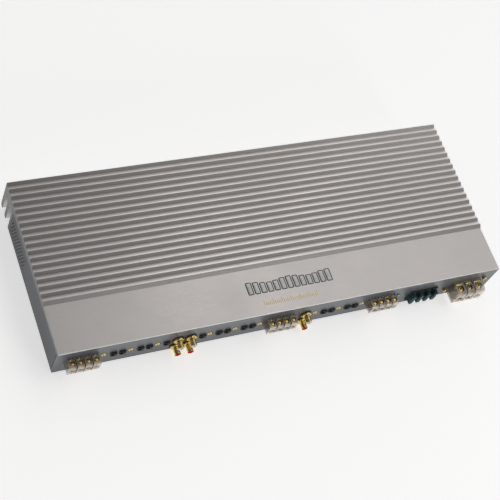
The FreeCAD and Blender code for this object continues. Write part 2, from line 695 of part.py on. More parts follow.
def build_inside():
    board = block((f"{LEFT} + 6", f"{RIGHT} - 6"), (f"{FRONT} + wall + 0.4", f"{REAR_INSIDE} - 6.4"),
                  ("board_floor", BOARD_TOP))
    notches = []
    front = (f"{FRONT} - 1", f"{FRONT} + wall + 12 + board_gap")
    for low, high in ((151, 188.5), (332.5, 352.5)):
        notches.append(block((from_left(low), from_left(high)), front, (10, 20)))
    corner = (from_left(499), RIGHT)
    notches.append(block(corner, (f"{FRONT} - 1", f"{FRONT} + wall + 18"), (10, 20)))
    for x, y in SPACER_SPOTS:
        notches.append(rod("screw_radius", (x, f"{FRONT} + {y}", 10), 10))
    publish("main_board", cut(board, notches))
    publish("control_board", block((from_left(56), from_left(440)), (f"{FRONT} + 24", f"{FRONT} + 25.6"),
                                   (BOARD_TOP, 40)))

    spots = [(x, f"{FRONT} + {y}", 0) for x, y in SPACER_SPOTS]
    spacer = cut(rod(3.2, (0, 0, "base_thickness"), "board_floor - base_thickness"),
                 [rod("screw_radius + 0.05", (0, 0, 5), 12)])
    publish("board_spacers", group(copies(spacer, spots)))
    shank = rod("screw_radius - 0.05", (0, 0, 6), f"{BOARD_TOP} - 6")
    recess = (f"{BOARD_TOP} + 1", 20)
    screw = cut(join([shank, rod(2.9, (0, 0, BOARD_TOP), 2)]),
                [block((-2, 2), (-0.35, 0.35), recess), block((-0.35, 0.35), (-2, 2), recess)])
    publish("board_screws", group(copies(screw, spots)))
    screws = copies(case_screw(), rib_screw_spots() + foot_screw_spots())
    publish("bottom_screws", group(screws))

    core = cut(rod(28, (0, 0, BOARD_TOP), 25), [rod(10, (0, 0, BOARD_TOP), 25)])
    publish("toroidal_transformers", group(copies(core, [(x, -10, 0) for x in (-215, -15, 185)])))
    capacitor = rod(9, (0, 0, BOARD_TOP), 25)
    grid = [(x + column * 22, y, 0) for x in (-150, 50, 245) for column in range(3 if x < 200 else 2)
            for y in (-40, -15, 10)]
    publish("reservoir_capacitors", group(copies(capacitor, grid)))
    transistor = [block((-7.8, 7.8), (-5, 0), (20, 40))]
    for leg in (-5, 0, 5):
        transistor.append(block((leg - 0.6, leg + 0.6), (-3.4, -2.8), (BOARD_TOP, 20.5)))
        transistor.append(block((leg - 0.6, leg + 0.6), (-9, -3), (BOARD_TOP, f"{BOARD_TOP} + 0.6")))
    transistor = join(transistor)
    along = [(x, REAR_INSIDE, 0) for x in range(-280, 281, 40)]
    publish("power_transistors", group(copies(transistor, along)))
    bar = block((-92, 92), (-8.4, -5), (27, 35))
    publish("clamp_bars", group(copies(bar, [(x, REAR_INSIDE, 0) for x in (-200, 0, 200)])))
    nut = cut(join([rod(3.6, (0, 0, 0), "base_thickness"), rod(5, (0, 0, "base_thickness"), 4)]),
              [rod("nut_bore_radius", (0, 0, 0), 7)])
    publish("mounting_nuts", group(copies(nut, [(x, y, 0) for x, y in NUT_SPOTS])))


def check_document():
    """Stop if any object failed, or any sub-part isn't a sound solid."""
    for item in doc.Objects:
        if "Invalid" in item.State or "Error" in item.State:
            raise RuntimeError(f"{item.Name} ({item.Label}) failed: {item.State}")
    for name, item in nodes.items():
        shape = item.Shape
        if shape.isNull() or not shape.isValid() or not shape.Solids:
            raise RuntimeError(f"{name} isn't a valid solid")
        if min(solid.Volume for solid in shape.Solids) <= 0:
            raise RuntimeError(f"{name} has an inverted solid")


build_heatsink()
build_bottom_plate()
publish("left_end_plate", end_plate(-1))
publish("right_end_plate", end_plate(1))
build_speaker_terminals()
build_power_terminal()
build_phono_sockets()
build_level_knobs()
build_switches()
build_fuses()
build_inside()
doc.recompute()
check_document()

os.makedirs("parts", exist_ok=True)
for name, item in nodes.items():
    item.Shape.exportStep(f"parts/{name}.step")
    box = item.Shape.BoundBox
    print(f"{name}: {len(item.Shape.Solids)} solids, {item.Shape.Volume / 1000:.2f} cm3,",
          f"x {box.XMin:.1f}..{box.XMax:.1f} y {box.YMin:.1f}..{box.YMax:.1f}",
          f"z {box.ZMin:.1f}..{box.ZMax:.1f}")
print(len(nodes), "sub-parts")
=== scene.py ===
"""Looks of a car amplifier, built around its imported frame.

X runs along the case, -Y is the front wall with the terminals, +Z is up. Shapes are worked out in
millimetres, and a piece's mesh gets them in metres. Shaders, the floor, lights and camera use metres.
"""

import json
import logging
import math
from dataclasses import dataclass
from enum import Enum

import bpy
import numpy as np
from mathutils import Matrix, Vector

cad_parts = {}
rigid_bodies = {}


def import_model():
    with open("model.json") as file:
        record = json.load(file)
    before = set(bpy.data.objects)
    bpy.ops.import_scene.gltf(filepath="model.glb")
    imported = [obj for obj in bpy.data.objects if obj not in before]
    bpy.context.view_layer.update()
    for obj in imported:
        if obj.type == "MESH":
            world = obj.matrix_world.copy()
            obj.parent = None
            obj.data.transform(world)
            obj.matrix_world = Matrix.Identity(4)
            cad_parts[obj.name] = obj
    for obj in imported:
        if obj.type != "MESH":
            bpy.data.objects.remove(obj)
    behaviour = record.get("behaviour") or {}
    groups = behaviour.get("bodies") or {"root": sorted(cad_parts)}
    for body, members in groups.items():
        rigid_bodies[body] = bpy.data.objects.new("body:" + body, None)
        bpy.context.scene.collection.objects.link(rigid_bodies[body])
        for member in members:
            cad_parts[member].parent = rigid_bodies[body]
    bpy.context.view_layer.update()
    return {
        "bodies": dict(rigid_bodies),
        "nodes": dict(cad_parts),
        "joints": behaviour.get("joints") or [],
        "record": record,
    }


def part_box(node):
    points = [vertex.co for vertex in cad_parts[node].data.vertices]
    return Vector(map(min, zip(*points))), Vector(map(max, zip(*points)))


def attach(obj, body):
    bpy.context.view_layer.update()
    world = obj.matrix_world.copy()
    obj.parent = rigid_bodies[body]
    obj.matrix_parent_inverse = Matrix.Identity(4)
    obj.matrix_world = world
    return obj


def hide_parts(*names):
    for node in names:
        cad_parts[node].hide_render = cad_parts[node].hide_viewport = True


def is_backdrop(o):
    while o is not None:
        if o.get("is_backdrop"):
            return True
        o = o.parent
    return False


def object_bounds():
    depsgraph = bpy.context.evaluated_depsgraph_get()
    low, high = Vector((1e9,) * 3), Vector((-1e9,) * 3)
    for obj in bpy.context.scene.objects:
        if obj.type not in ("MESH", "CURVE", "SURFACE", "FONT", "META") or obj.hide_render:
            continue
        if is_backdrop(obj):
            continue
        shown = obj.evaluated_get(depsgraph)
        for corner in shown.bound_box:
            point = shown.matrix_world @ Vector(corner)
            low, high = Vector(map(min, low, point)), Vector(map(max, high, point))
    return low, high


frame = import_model()

LOG = logging.getLogger("amplifier")
MM = 0.001
CASE = "case"
CORE = 0.01  # radius at which a drilled shape closes
SMALLEST = 0.001  # smallest corner radius, so that a corner's points stay apart
CORNER_STEPS = 4  # faces round a rounded corner
EDGE_STEPS = 3  # faces across a rounded end
NOSE_POINTS = 9  # points round each corner of a nosed block
SHARP_ANGLE = math.radians(32)
BEVEL_ANGLE = math.radians(40)

Array = np.ndarray
Pairs = np.ndarray | list[tuple[float, float]]
Color = tuple[float, float, float]
Shade = tuple[float, float, float, float]
Socket = bpy.types.NodeSocket


class Axis(Enum):
    """Direction that a turned or carried shape runs along, with the order its three columns are put in."""

    X = (2, 0, 1)
    Y = (0, 2, 1)
    Z = (0, 1, 2)


# ------------------------------------------------------------------ surfaces


@dataclass(frozen=True)
class Shell:
    """One or more closed surfaces: points, and faces as a flat run of point numbers with a size each."""

    points: Array
    loops: Array
    sizes: Array

    def moved(self, offset: Array) -> "Shell":
        """The same shell, shifted by an offset."""
        return Shell(self.points + np.asarray(offset, float), self.loops, self.sizes)


def joined(shells: list[Shell]) -> Shell:
    """Several shells as one, with the point numbers of each shifted past those before it."""
    starts = np.cumsum([0] + [len(shell.points) for shell in shells[:-1]])
    return Shell(
        np.concatenate([shell.points for shell in shells]),
        np.concatenate([shell.loops + start for shell, start in zip(shells, starts)]),
        np.concatenate([shell.sizes for shell in shells]),
    )


def repeated(shell: Shell, offsets: list[Array]) -> Shell:
    """A shell at each of several offsets, as one shell."""
    return joined([shell.moved(offset) for offset in offsets])


def placed(columns: Array, axis: Axis) -> Array:
    """Points given as (across, up, along) put into X, Y, Z order for the axis they run along."""
    return columns[..., axis.value]


def skin(rings: Array, loop: bool = False) -> Shell:
    """Closed surface through rings of points.

    Point (i, j) joins (i + 1, j) and (i, j + 1). Without a loop, each end closes on a pole at the middle
    of its ring. The faces are turned round if the shell's signed volume, a sixth of the sum of
    a . (b x c) over its triangles, comes out negative.

    Args:
        rings: array (rings, points in a ring, 3).
        loop: True if the last ring joins the first one.

    Returns:
        The closed shell.
    """
    count, around = rings.shape[:2]
    i, j = np.meshgrid(np.arange(count if loop else count - 1), np.arange(around), indexing="ij")
    after, beside = (i + 1) % count, (j + 1) % around
    quads = np.stack([i * around + j, i * around + beside, after * around + beside, after * around + j], -1)
    quads = quads.reshape(-1, 4)
    points = rings.reshape(-1, 3)
    triangles = np.zeros((0, 3), int)
    if not loop:
        poles = len(points) + np.arange(2)
        points = np.concatenate([points, rings[[0, -1]].mean(1)])
        ring = np.arange(around)
        last = (count - 1) * around
        first_cap = np.stack([np.roll(ring, -1), ring, np.full(around, poles[0])], -1)
        last_cap = np.stack([last + ring, last + np.roll(ring, -1), np.full(around, poles[1])], -1)
        triangles = np.concatenate([first_cap, last_cap])
    halves = np.concatenate([quads[:, [0, 1, 2]], quads[:, [0, 2, 3]], triangles])
    a, b, c = (points[halves[:, k]] for k in range(3))
    if np.einsum("ij,ij->i", a, np.cross(b, c)).sum() < 0:
        quads, triangles = quads[:, ::-1], triangles[:, ::-1]
    sizes = np.concatenate([np.full(len(quads), 4), np.full(len(triangles), 3)])
    return Shell(points, np.concatenate([quads.ravel(), triangles.ravel()]), sizes)


def circle(radius: float, count: int) -> Array:
    """Points (radius cos t, radius sin t) round a circle."""
    turn = np.linspace(0, 2 * math.pi, count, endpoint=False)
    return radius * np.stack([np.cos(turn), np.sin(turn)], -1)


def rounded_rectangle(width: float, height: float, corner: float, inset: float = 0) -> Array:
    """Outline of a rounded rectangle about zero, drawn in by an inset.

    Each quarter turn t runs round a corner's centre at (+-(width / 2 - corner), +-(height / 2 - corner))
    with radius corner - inset, so an inset keeps the four centres and shrinks the radius.
    """
    turn = (np.arange(4)[:, None] + np.linspace(0, 1, CORNER_STEPS + 1)) * math.pi / 2
    across = np.array([1, -1, -1, 1])[:, None] * (width / 2 - corner)
    upward = np.array([1, 1, -1, -1])[:, None] * (height / 2 - corner)
    radius = max(corner - inset, SMALLEST)
    return np.stack([across + radius * np.cos(turn), upward + radius * np.sin(turn)], -1).reshape(-1, 2)


def quarter_round(length: float, edge: float) -> Array:
    """(inset, along) pairs for a bar whose two ends are rounded: edge (1 - sin t), edge (1 - cos t)."""
    turn = np.linspace(0, math.pi / 2, EDGE_STEPS + 1)
    start = np.stack([edge * (1 - np.sin(turn)), edge * (1 - np.cos(turn))], -1)
    return np.concatenate([start, np.stack([start[::-1, 0], length - start[::-1, 1]], -1)])


def rounded_block(low: Array, high: Array, corner: float, edge: float, axis: Axis = Axis.Y) -> Shell:
    """Block between two corners: a rounded rectangle carried along an axis, drawn in at both ends.

    Args:
        low: lowest corner.
        high: highest corner.
        corner: radius of the four long edges.
        edge: radius of the edges round the two ends, at most the corner.
        axis: direction that the rectangle is carried along.

    Returns:
        The closed shell.
    """
    low, high = np.asarray(low, float), np.asarray(high, float)
    order = np.argsort(axis.value)
    size = (high - low)[order]
    rings = []
    for inset, along in quarter_round(size[2], min(edge, corner)):
        outline = rounded_rectangle(size[0], size[1], corner, inset)
        rings.append(np.column_stack([outline, np.full(len(outline), along - size[2] / 2)]))
    return skin(placed(np.array(rings), axis) + (low + high) / 2)


def turned(profile: Pairs, center: Array, axis: Axis, count: int, loop: bool = False) -> Shell:
    """Profile of (radius, along) pairs turned about an axis: point (r cos t, r sin t, along)."""
    rings = [np.column_stack([circle(radius, count), np.full(count, along)]) for radius, along in profile]
    return skin(placed(np.array(rings), axis) + np.asarray(center, float), loop)


def drill(profile: Pairs, center: Array, axis: Axis, count: int) -> Shell:
    """Turned cutter whose profile of (radius, along) pairs is closed by a narrow core at both ends."""
    return turned([(CORE, profile[0][1]), *profile, (CORE, profile[-1][1])], center, axis, count)


def framed(size: tuple[float, float], corner: float, section: Pairs, axis: Axis) -> Shell:
    """Closed section of (inset, along) pairs carried round a rounded rectangle about zero."""
    rings = []
    for inset, along in section:
        outline = rounded_rectangle(size[0], size[1], corner, inset)
        rings.append(np.column_stack([outline, np.full(len(outline), along)]))
    return skin(placed(np.array(rings), axis), loop=True)


def prism(outline: Array, start: float, stop: float, axis: Axis) -> Shell:
    """Outline of (across, up) pairs carried straight from start to stop, with a flat face at each end."""
    count = len(outline)
    ends = [np.column_stack([outline, np.full(count, along)]) for along in (start, stop)]
    j = np.arange(count)
    sides = np.stack([j, (j + 1) % count, count + (j + 1) % count, count + j], -1)
    across, upward = outline.T
    area = (across * np.roll(upward, -1) - upward * np.roll(across, -1)).sum()
    mirrored = axis is Axis.Y
    loops = np.concatenate([sides.ravel(), j[::-1], count + j])
    if (area < 0) != mirrored:
        loops = np.concatenate([sides[:, ::-1].ravel(), j, (count + j)[::-1]])
    sizes = np.concatenate([np.full(count, 4), [count, count]])
    return Shell(placed(np.concatenate(ends), axis), loops, sizes)


def nosed_block(width: float, reach: float, height: float, brow: float, chin: float) -> Shell:
    """Block from the wall forwards whose side view has a large quarter round at its upper front edge.

    Each corner of the side view, at (-reach, height) and (-reach, 0), is a quarter circle of its own
    radius; the outline is carried straight along X.
    """
    turn = np.linspace(0, math.pi / 2, NOSE_POINTS)
    top = np.stack([brow - reach - brow * np.sin(turn), height - brow + brow * np.cos(turn)], -1)
    bottom = np.stack([chin - reach - chin * np.cos(turn), chin - chin * np.sin(turn)], -1)
    return prism(np.concatenate([[[0, 0], [0, height]], top, bottom]), -width / 2, width / 2, Axis.X)


def mesh_of(name: str, shell: Shell, scale: float = 1.0) -> bpy.types.Mesh:
    """Blender mesh with a shell's points, scaled, and its faces."""
    mesh = bpy.data.meshes.new(name)
    faces = np.split(shell.loops, np.cumsum(shell.sizes)[:-1])
    mesh.from_pydata(shell.points * scale, [], [face.tolist() for face in faces])
    mesh.update()
    return mesh


def added(name: str, data: bpy.types.ID) -> bpy.types.Object:
    """New object with its data, linked into the scene."""
    item = bpy.data.objects.new(name, data)
    bpy.context.scene.collection.objects.link(item)
    return item


def carved(shell: Shell, cutters: list[Shell]) -> Shell:
    """A shell less its cutters, by an exact boolean.

    Args:
        shell: what is cut.
        cutters: closed shells that may overlap each other.

    Returns:
        The cut shell.
    """
    made = [added(label, mesh_of(label, part)) for label,
            part in (("stock", shell), ("cutter", joined(cutters)))]
    boolean = made[0].modifiers.new("cut", "BOOLEAN")
    boolean.object, boolean.operation = made[1], "DIFFERENCE"
    boolean.solver, boolean.use_self = "EXACT", True
    mesh = bpy.data.meshes.new_from_object(made[0].evaluated_get(bpy.context.evaluated_depsgraph_get()))
    points = np.empty(len(mesh.vertices) * 3)
    mesh.vertices.foreach_get("co", points)
    loops, sizes = np.empty(len(mesh.loops), int), np.empty(len(mesh.polygons), int)
    mesh.loops.foreach_get("vertex_index", loops)
    mesh.polygons.foreach_get("loop_total", sizes)
    for piece in made:
        old = piece.data
        bpy.data.objects.remove(piece)
        bpy.data.meshes.remove(old)
    bpy.data.meshes.remove(mesh)
    return Shell(points.reshape(-1, 3), loops, sizes)


# ------------------------------------------------------------------ shader groups


class Tree:
    """Short ways to add and join the nodes of one shader tree."""

    def __init__(self, tree: bpy.types.NodeTree) -> None:
        """Start on an empty tree."""
        self.tree = tree

    def add(self, kind: str, values: dict | None = None, **settings: object) -> bpy.types.Node:
        """Add a node.

        Args:
            kind: node type without its ShaderNode prefix.
            values: input name or number to a constant, or to an output socket to join.
            settings: properties of the node.

        Returns:
            The new node.
        """
        node = self.tree.nodes.new("ShaderNode" + kind)
        for name, value in settings.items():
            setattr(node, name, value)
        for key, value in (values or {}).items():
            if isinstance(value, bpy.types.NodeSocket):
                self.tree.links.new(value, node.inputs[key])
            else:
                node.inputs[key].default_value = value
        return node

    def math(self, operation: str, first: object, second: object = 0.0, clamp: bool = False) -> Socket:
        """Output of a Math node on one or two values."""
        return self.add("Math", {0: first, 1: second}, operation=operation, use_clamp=clamp).outputs[0]

    def times(self, *values: object) -> Socket:
        """Product of two or more values."""
        product = values[0]
        for value in values[1:]:
            product = self.math("MULTIPLY", product, value)
        return product

    def noise(self, vector: object, scale: object, detail: float, roughness: float = 0.5) -> Socket:
        """Value of a noise texture."""
        inputs = {"Vector": vector, "Scale": scale, "Detail": detail, "Roughness": roughness}
        return self.add("TexNoise", inputs).outputs["Fac"]

    def along(self, vector: object, axis: str) -> Socket:
        """One of a vector's X, Y and Z."""
        return self.add("SeparateXYZ", {0: vector}).outputs[axis]

    def facing(self, axis: str, normal: str = "True Normal") -> Socket:
        """How far the surface looks along X, Y or Z."""
        return self.along(self.add("NewGeometry").outputs[normal], axis)

    def shared(self, group: bpy.types.NodeTree, output: str, values: dict) -> Socket:
        """One output of a shared group."""
        return self.add("Group", values, node_tree=group).outputs[output]

    def link(self, value: Socket, sink: bpy.types.Node, name: str) -> None:
        """Join a value to a named input of a node."""
        self.tree.links.new(value, sink.inputs[name])

    def ramp(self, value: object, start: float, stop: float, low: float = 0.0, high: float = 1.0) -> Socket:
        """Value mapped smoothly from start..stop to low..high."""
        inputs = {"Value": value, "From Min": start, "From Max": stop, "To Min": low, "To Max": high}
        return self.add("MapRange", inputs, interpolation_type="SMOOTHSTEP").outputs["Result"]

    def mix(self, factor: object, first: object, second: object) -> Socket:
        """Colour mixed from first to second by a factor."""
        return self.add("Mix", {0: factor, 6: first, 7: second}, data_type="RGBA").outputs[2]


def new_group(name: str, inputs: dict[str, str], outputs: dict[str, str]) -> tuple[Tree, dict,
                                                                                   bpy.types.Node]:
    """Empty shader group with named sockets.

    Args:
        name: group's name.
        inputs: socket name to kind, such as Float.
        outputs: socket name to kind.

    Returns:
        Its tree, its input sockets by name, and its output node.
    """
    tree = bpy.data.node_groups.new(name, "ShaderNodeTree")
    for direction, sockets in (("INPUT", inputs), ("OUTPUT", outputs)):
        for label, kind in sockets.items():
            tree.interface.new_socket(name=label, in_out=direction, socket_type="NodeSocket" + kind)
    source, sink = tree.nodes.new("NodeGroupInput"), tree.nodes.new("NodeGroupOutput")
    return Tree(tree), {label: source.outputs[label] for label in inputs}, sink


def grain_group() -> bpy.types.NodeTree:
    """Stretched fine grain with slow patches: Mask and Height for scratches, Patch for uneven tone."""
    tree, given, sink = new_group(
        "fine_grain",
        {"Vector": "Vector", "Stretch": "Vector", "Scale": "Float", "Patch Scale": "Float"},
        {"Mask": "Float", "Patch": "Float", "Height": "Float"},
    )
    stretched = tree.add("VectorMath", {0: given["Vector"], 1: given["Stretch"]},
                         operation="MULTIPLY").outputs[0]
    fine = tree.noise(stretched, given["Scale"], 4.0, 0.65)
    slow = tree.noise(given["Vector"], given["Patch Scale"], 2.0)
    tree.link(tree.ramp(fine, 0.32, 0.68), sink, "Mask")
    tree.link(tree.ramp(slow, 0.3, 0.7), sink, "Patch")
    tree.link(fine, sink, "Height")
    return tree.tree


def wear_and_shade_group() -> bpy.types.NodeTree:
    """Edges, from one less the dot product of the true normal and the normal rounded over Radius.

    Edge is a wide clean band along them, used for a painted dark outline as painted shade, and Mask a
    narrow one broken up by noise, as wear is.
    """
    tree, given, sink = new_group("edge_wear", {"Vector": "Vector", "Radius": "Float"},
                                  {"Mask": "Float", "Edge": "Float"})
    rounded = tree.add("Bevel", {"Radius": given["Radius"]}, samples=4).outputs["Normal"]
    plain = tree.add("NewGeometry").outputs["True Normal"]
    agree = tree.add("VectorMath", {0: rounded, 1: plain}, operation="DOT_PRODUCT").outputs["Value"]
    turned_away = tree.math("SUBTRACT", 1.0, agree)
    broken = tree.noise(given["Vector"], 160.0, 3.0)
    tree.link(tree.ramp(turned_away, 0.01, 0.09), sink, "Edge")
    tree.link(tree.times(tree.ramp(turned_away, 0.02, 0.22), tree.ramp(broken, 0.35, 0.6)), sink, "Mask")
    return tree.tree


def dust_group() -> bpy.types.NodeTree:
    """Faint dust: more where the surface looks up, broken by two noises."""
    tree, given, sink = new_group("dust", {"Vector": "Vector", "Amount": "Float"}, {"Mask": "Float"})
    upward = tree.ramp(tree.facing("Z", "Normal"), -0.1, 0.9, 0.15, 1.0)
    specks = tree.ramp(tree.noise(given["Vector"], 900.0, 1.0), 0.45, 0.7)
    film = tree.ramp(tree.noise(given["Vector"], 14.0, 3.0), 0.35, 0.7)
    tree.link(tree.times(specks, film, upward, given["Amount"]), sink, "Mask")
    return tree.tree


WEAR_RADIUS = 0.6 * MM
OUTLINE_RADIUS = 0.9 * MM
BUMP_DEPTH = 0.3 * MM
DUST: Shade = (0.62, 0.6, 0.56, 1)
# painted highlight: near-white colour for the case's bevels
BEVEL_HIGHLIGHT: Shade = (0.9, 0.89, 0.88, 1)
# painted shade and light: the paint runs from this darker colour at the bottom to the next, lighter one at
# the top
SHADED_LOW_PAINT: Shade = (0.06, 0.066, 0.076, 1)
LIT_HIGH_PAINT: Shade = (0.135, 0.142, 0.155, 1)
# painted shade: near-black colour that the painted ends fade to towards the rear
REAR_PAINT_SHADE: Shade = (0.02, 0.02, 0.022, 1)
# painted shade: near-black colour that the end plate fades to towards the rear
REAR_PLATE_SHADE: Shade = (0.02, 0.02, 0.02, 1)
# painted shade: near-black colour for the walls of the punched holes and the cut edges
HOLE_SHADE: Shade = (0.004, 0.004, 0.004, 1)
TRACK_GREEN: Shade = (0.05, 0.2, 0.07, 1)
PAD_TIN: Shade = (0.55, 0.53, 0.48, 1)
# painted shade: dark copper colour for the creases between winding turns
WIRE_GAP_SHADE: Shade = (0.12, 0.03, 0.01, 1)
SLEEVE_BAND: Shade = (0.4, 0.42, 0.45, 1)
BARE_TOP: Shade = (0.6, 0.6, 0.6, 1)
# painted shade: dark colour for the clear mouldings' sides, while their fronts keep the light base as the
# lit side
SIDE_SHADE: Shade = (0.07, 0.055, 0.043, 1)
# painted shade: dark outline colour along the clear mouldings' edges
OUTLINE_SHADE: Shade = (0.05, 0.04, 0.034, 1)


class Pattern(Enum):
    """What a finish draws over its base colour besides grain."""

    PLAIN = "plain"
    CASE = "case"
    BOARD = "board"
    WINDING = "winding"
    SLEEVE = "sleeve"
    CLEAR = "clear"
    PUNCHED = "punched"


@dataclass(frozen=True)
class Finish:
    """One material: base and second colour, gloss, and how its grain, wear and dust look."""

    slot: str
    color: Color
    second: Color
    metallic: float = 0.0
    roughness: float = 0.4
    spread: float = 0.08
    stretch: Color = (1.0, 1.0, 1.0)
    scale: float = 900.0
    patch: float = 25.0
    tint: float = 0.3
    bump: float = 0.1
    wear: float = 0.0
    worn_color: Color = (0.5, 0.5, 0.5)
    dust: float = 0.1
    coat: float = 0.0
    specular: float = 0.5
    pattern: Pattern = Pattern.PLAIN

    def build(self, groups: dict[str, bpy.types.NodeTree]) -> bpy.types.Material:
        """Make the material.

        Args:
            groups: the shared shader groups by name.

        Returns:
            A material whose shader stands in the material itself.
        """
        material = bpy.data.materials.new(self.slot)
        material.use_nodes = True
        material.node_tree.nodes.clear()
        tree = Tree(material.node_tree)
        vector = tree.add("TexCoord").outputs["Object"]
        streaks = {"Vector": vector, "Stretch": self.stretch, "Scale": self.scale,
                   "Patch Scale": self.patch}
        grain = tree.add("Group", streaks, node_tree=groups["grain"])
        mask = tree.math("ADD", tree.times(grain.outputs["Mask"], 0.6),
                         tree.times(grain.outputs["Patch"], 0.4))
        color = tree.mix(tree.times(mask, self.tint), self.color + (1,), self.second + (1,))
        rough = tree.math("ADD", tree.times(mask, self.spread), self.roughness)
        metallic: object = self.metallic
        alpha: object = 1.0
        if self.pattern is not Pattern.PLAIN:
            color, rough, metallic, alpha = PATTERNS[self.pattern](tree, vector, color, rough, groups)
        if self.wear:
            worn = tree.shared(groups["wear"], "Mask", {"Vector": vector, "Radius": WEAR_RADIUS})
            color = tree.mix(tree.times(worn, self.wear), color, self.worn_color + (1,))
        if self.dust:
            film = tree.shared(groups["dust"], "Mask", {"Vector": vector, "Amount": self.dust})
            color = tree.mix(film, color, DUST)
            rough = tree.math("ADD", rough, tree.times(film, 0.3), clamp=True)
        bump = tree.add("Bump",
                        {"Strength": self.bump, "Distance": BUMP_DEPTH, "Height": grain.outputs["Height"]})
        shader = tree.add("BsdfPrincipled", {
            "Base Color": color, "Metallic": metallic, "Roughness": rough, "Alpha": alpha,
            "Normal": bump.outputs["Normal"], "Coat Weight": self.coat, "Coat Roughness": 0.12,
            "Specular IOR Level": self.specular,
        })
        tree.link(shader.outputs[0], tree.add("OutputMaterial"), "Surface")
        return material


def case_pattern(tree: Tree, vector: object, color: object, rough: object, groups: dict) -> tuple:
    """Brushed top with a painted highlight on its machined bevels, and dark paint on the front wall and on
    both cut ends.

    The paint mask is one where the surface looks along -Y at the front, along X, or down; that paint
    carries painted shade, darker towards the bottom and, on the ends, towards the rear. The painted
    highlight mask is one where the surface looks up and forward at the front edge, or up and outward at an
    end.
    """
    low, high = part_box("heatsink")
    across, ahead, upward = (tree.along(vector, axis) for axis in "XYZ")
    tilt = tree.facing("Z")
    forward = tree.math("LESS_THAN", tree.facing("Y"), -0.95)
    front = tree.times(forward, tree.math("LESS_THAN", ahead, low.y + 4 * MM))
    sideways = tree.math("GREATER_THAN", tree.math("ABSOLUTE", tree.facing("X")), 0.95)
    under = tree.math("LESS_THAN", tilt, -0.2)
    painted = tree.math("MAXIMUM", front, tree.math("MAXIMUM", sideways, under))
    slanted = tree.math("COMPARE", tilt, math.sqrt(0.5))
    slanted.node.inputs[2].default_value = 0.03
    outer = tree.math("GREATER_THAN", tree.math("ABSOLUTE", across), high.x - 2 * MM)
    leading = tree.math("LESS_THAN", ahead, low.y + 2 * MM)
    # painted highlight: the bevels at the front edge and at both ends are painted near white
    bevel_highlight = tree.times(slanted, tree.math("MAXIMUM", outer, leading))
    color = tree.mix(bevel_highlight, color, BEVEL_HIGHLIGHT)
    rough = tree.math("ADD", rough, tree.times(bevel_highlight, 0.2))
    # painted shade: the paint darkens towards the bottom and lightens towards the top
    paint = tree.mix(tree.ramp(upward, low.z, high.z), SHADED_LOW_PAINT, LIT_HIGH_PAINT)
    # painted shade: the painted ends darken towards the rear
    rear_shade = tree.ramp(ahead, 0, high.y, 0.0, 0.6)
    color = tree.mix(tree.times(sideways, rear_shade), tree.mix(painted, color, paint), REAR_PAINT_SHADE)
    rough = tree.math("ADD", tree.times(rough, tree.math("SUBTRACT", 1.0, painted)),
                      tree.times(painted, 0.3))
    metallic = tree.math("SUBTRACT", 1.0, tree.math("MAXIMUM", painted, tree.times(bevel_highlight, 0.6)))
    return color, rough, metallic, 1.0


def board_pattern(tree: Tree, vector: object, color: object, rough: object, groups: dict) -> tuple:
    """Copper tracks under green lacquer: thin lines between brick cells, and round pads on a grid."""
    bricks = {"Vector": vector, "Scale": 90.0, "Mortar Size": 0.012, "Brick Width": 0.9}
    tracks = tree.add("TexBrick", bricks).outputs["Fac"]
    pads = tree.add("TexVoronoi", {"Vector": vector, "Scale": 160.0, "Randomness": 0.3}).outputs["Distance"]
    pad = tree.math("LESS_THAN", pads, 0.16)
    color = tree.mix(tree.times(tracks, 0.6), color, TRACK_GREEN)
    color = tree.mix(pad, color, PAD_TIN)
    return color, rough, tree.times(pad, 0.8), 1.0


def winding_pattern(tree: Tree, vector: object, color: object, rough: object, groups: dict) -> tuple:
    """Lacquered wire: fine bands, with painted shade between turns."""
    bands = tree.add("TexWave", {"Vector": vector, "Scale": 220.0, "Distortion": 0.6, "Detail": 1.0},
                     bands_direction="DIAGONAL").outputs["Fac"]
    # painted shade: the bands darken between turns
    return tree.mix(tree.times(bands, 0.6), color, WIRE_GAP_SHADE), rough, 0.7, 1.0


def sleeve_pattern(tree: Tree, vector: object, color: object, rough: object, groups: dict) -> tuple:
    """Shrink sleeve with a bare aluminium top, and a pale band near the top."""
    spot = tree.along(vector, "Z")
    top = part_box("reservoir_capacitors")[1].z
    bare = tree.math("GREATER_THAN", spot, top - 0.2 * MM)
    band = tree.times(tree.math("GREATER_THAN", spot, top - 5 * MM), 0.35)
    color = tree.mix(band, color, SLEEVE_BAND)
    return tree.mix(bare, color, BARE_TOP), rough, tree.times(bare, 0.9), 1.0


def clear_pattern(tree: Tree, vector: object, color: object, rough: object, groups: dict) -> tuple:
    """Smoky clear moulding: see-through where looked at straight on, with painted shade on its sides and a
    painted dark outline along its edges.
    """
    # painted shade: the group's Edge band gives the dark, more opaque outline along the edges
    edge = tree.shared(groups["wear"], "Edge", {"Vector": vector, "Radius": OUTLINE_RADIUS})
    rim = tree.add("LayerWeight", {"Blend": 0.35}).outputs["Facing"]
    # painted shade: faces that look along X are darkened
    side = tree.ramp(tree.math("ABSOLUTE", tree.facing("X")), 0.6, 0.95, 0.0, 0.8)
    color = tree.mix(tree.times(edge, 0.6), tree.mix(side, color, SIDE_SHADE), OUTLINE_SHADE)
    solid = tree.math("MAXIMUM", tree.ramp(rim, 0.1, 0.95, 0.45, 0.9), tree.times(edge, 0.95))
    return color, rough, 0.0, solid


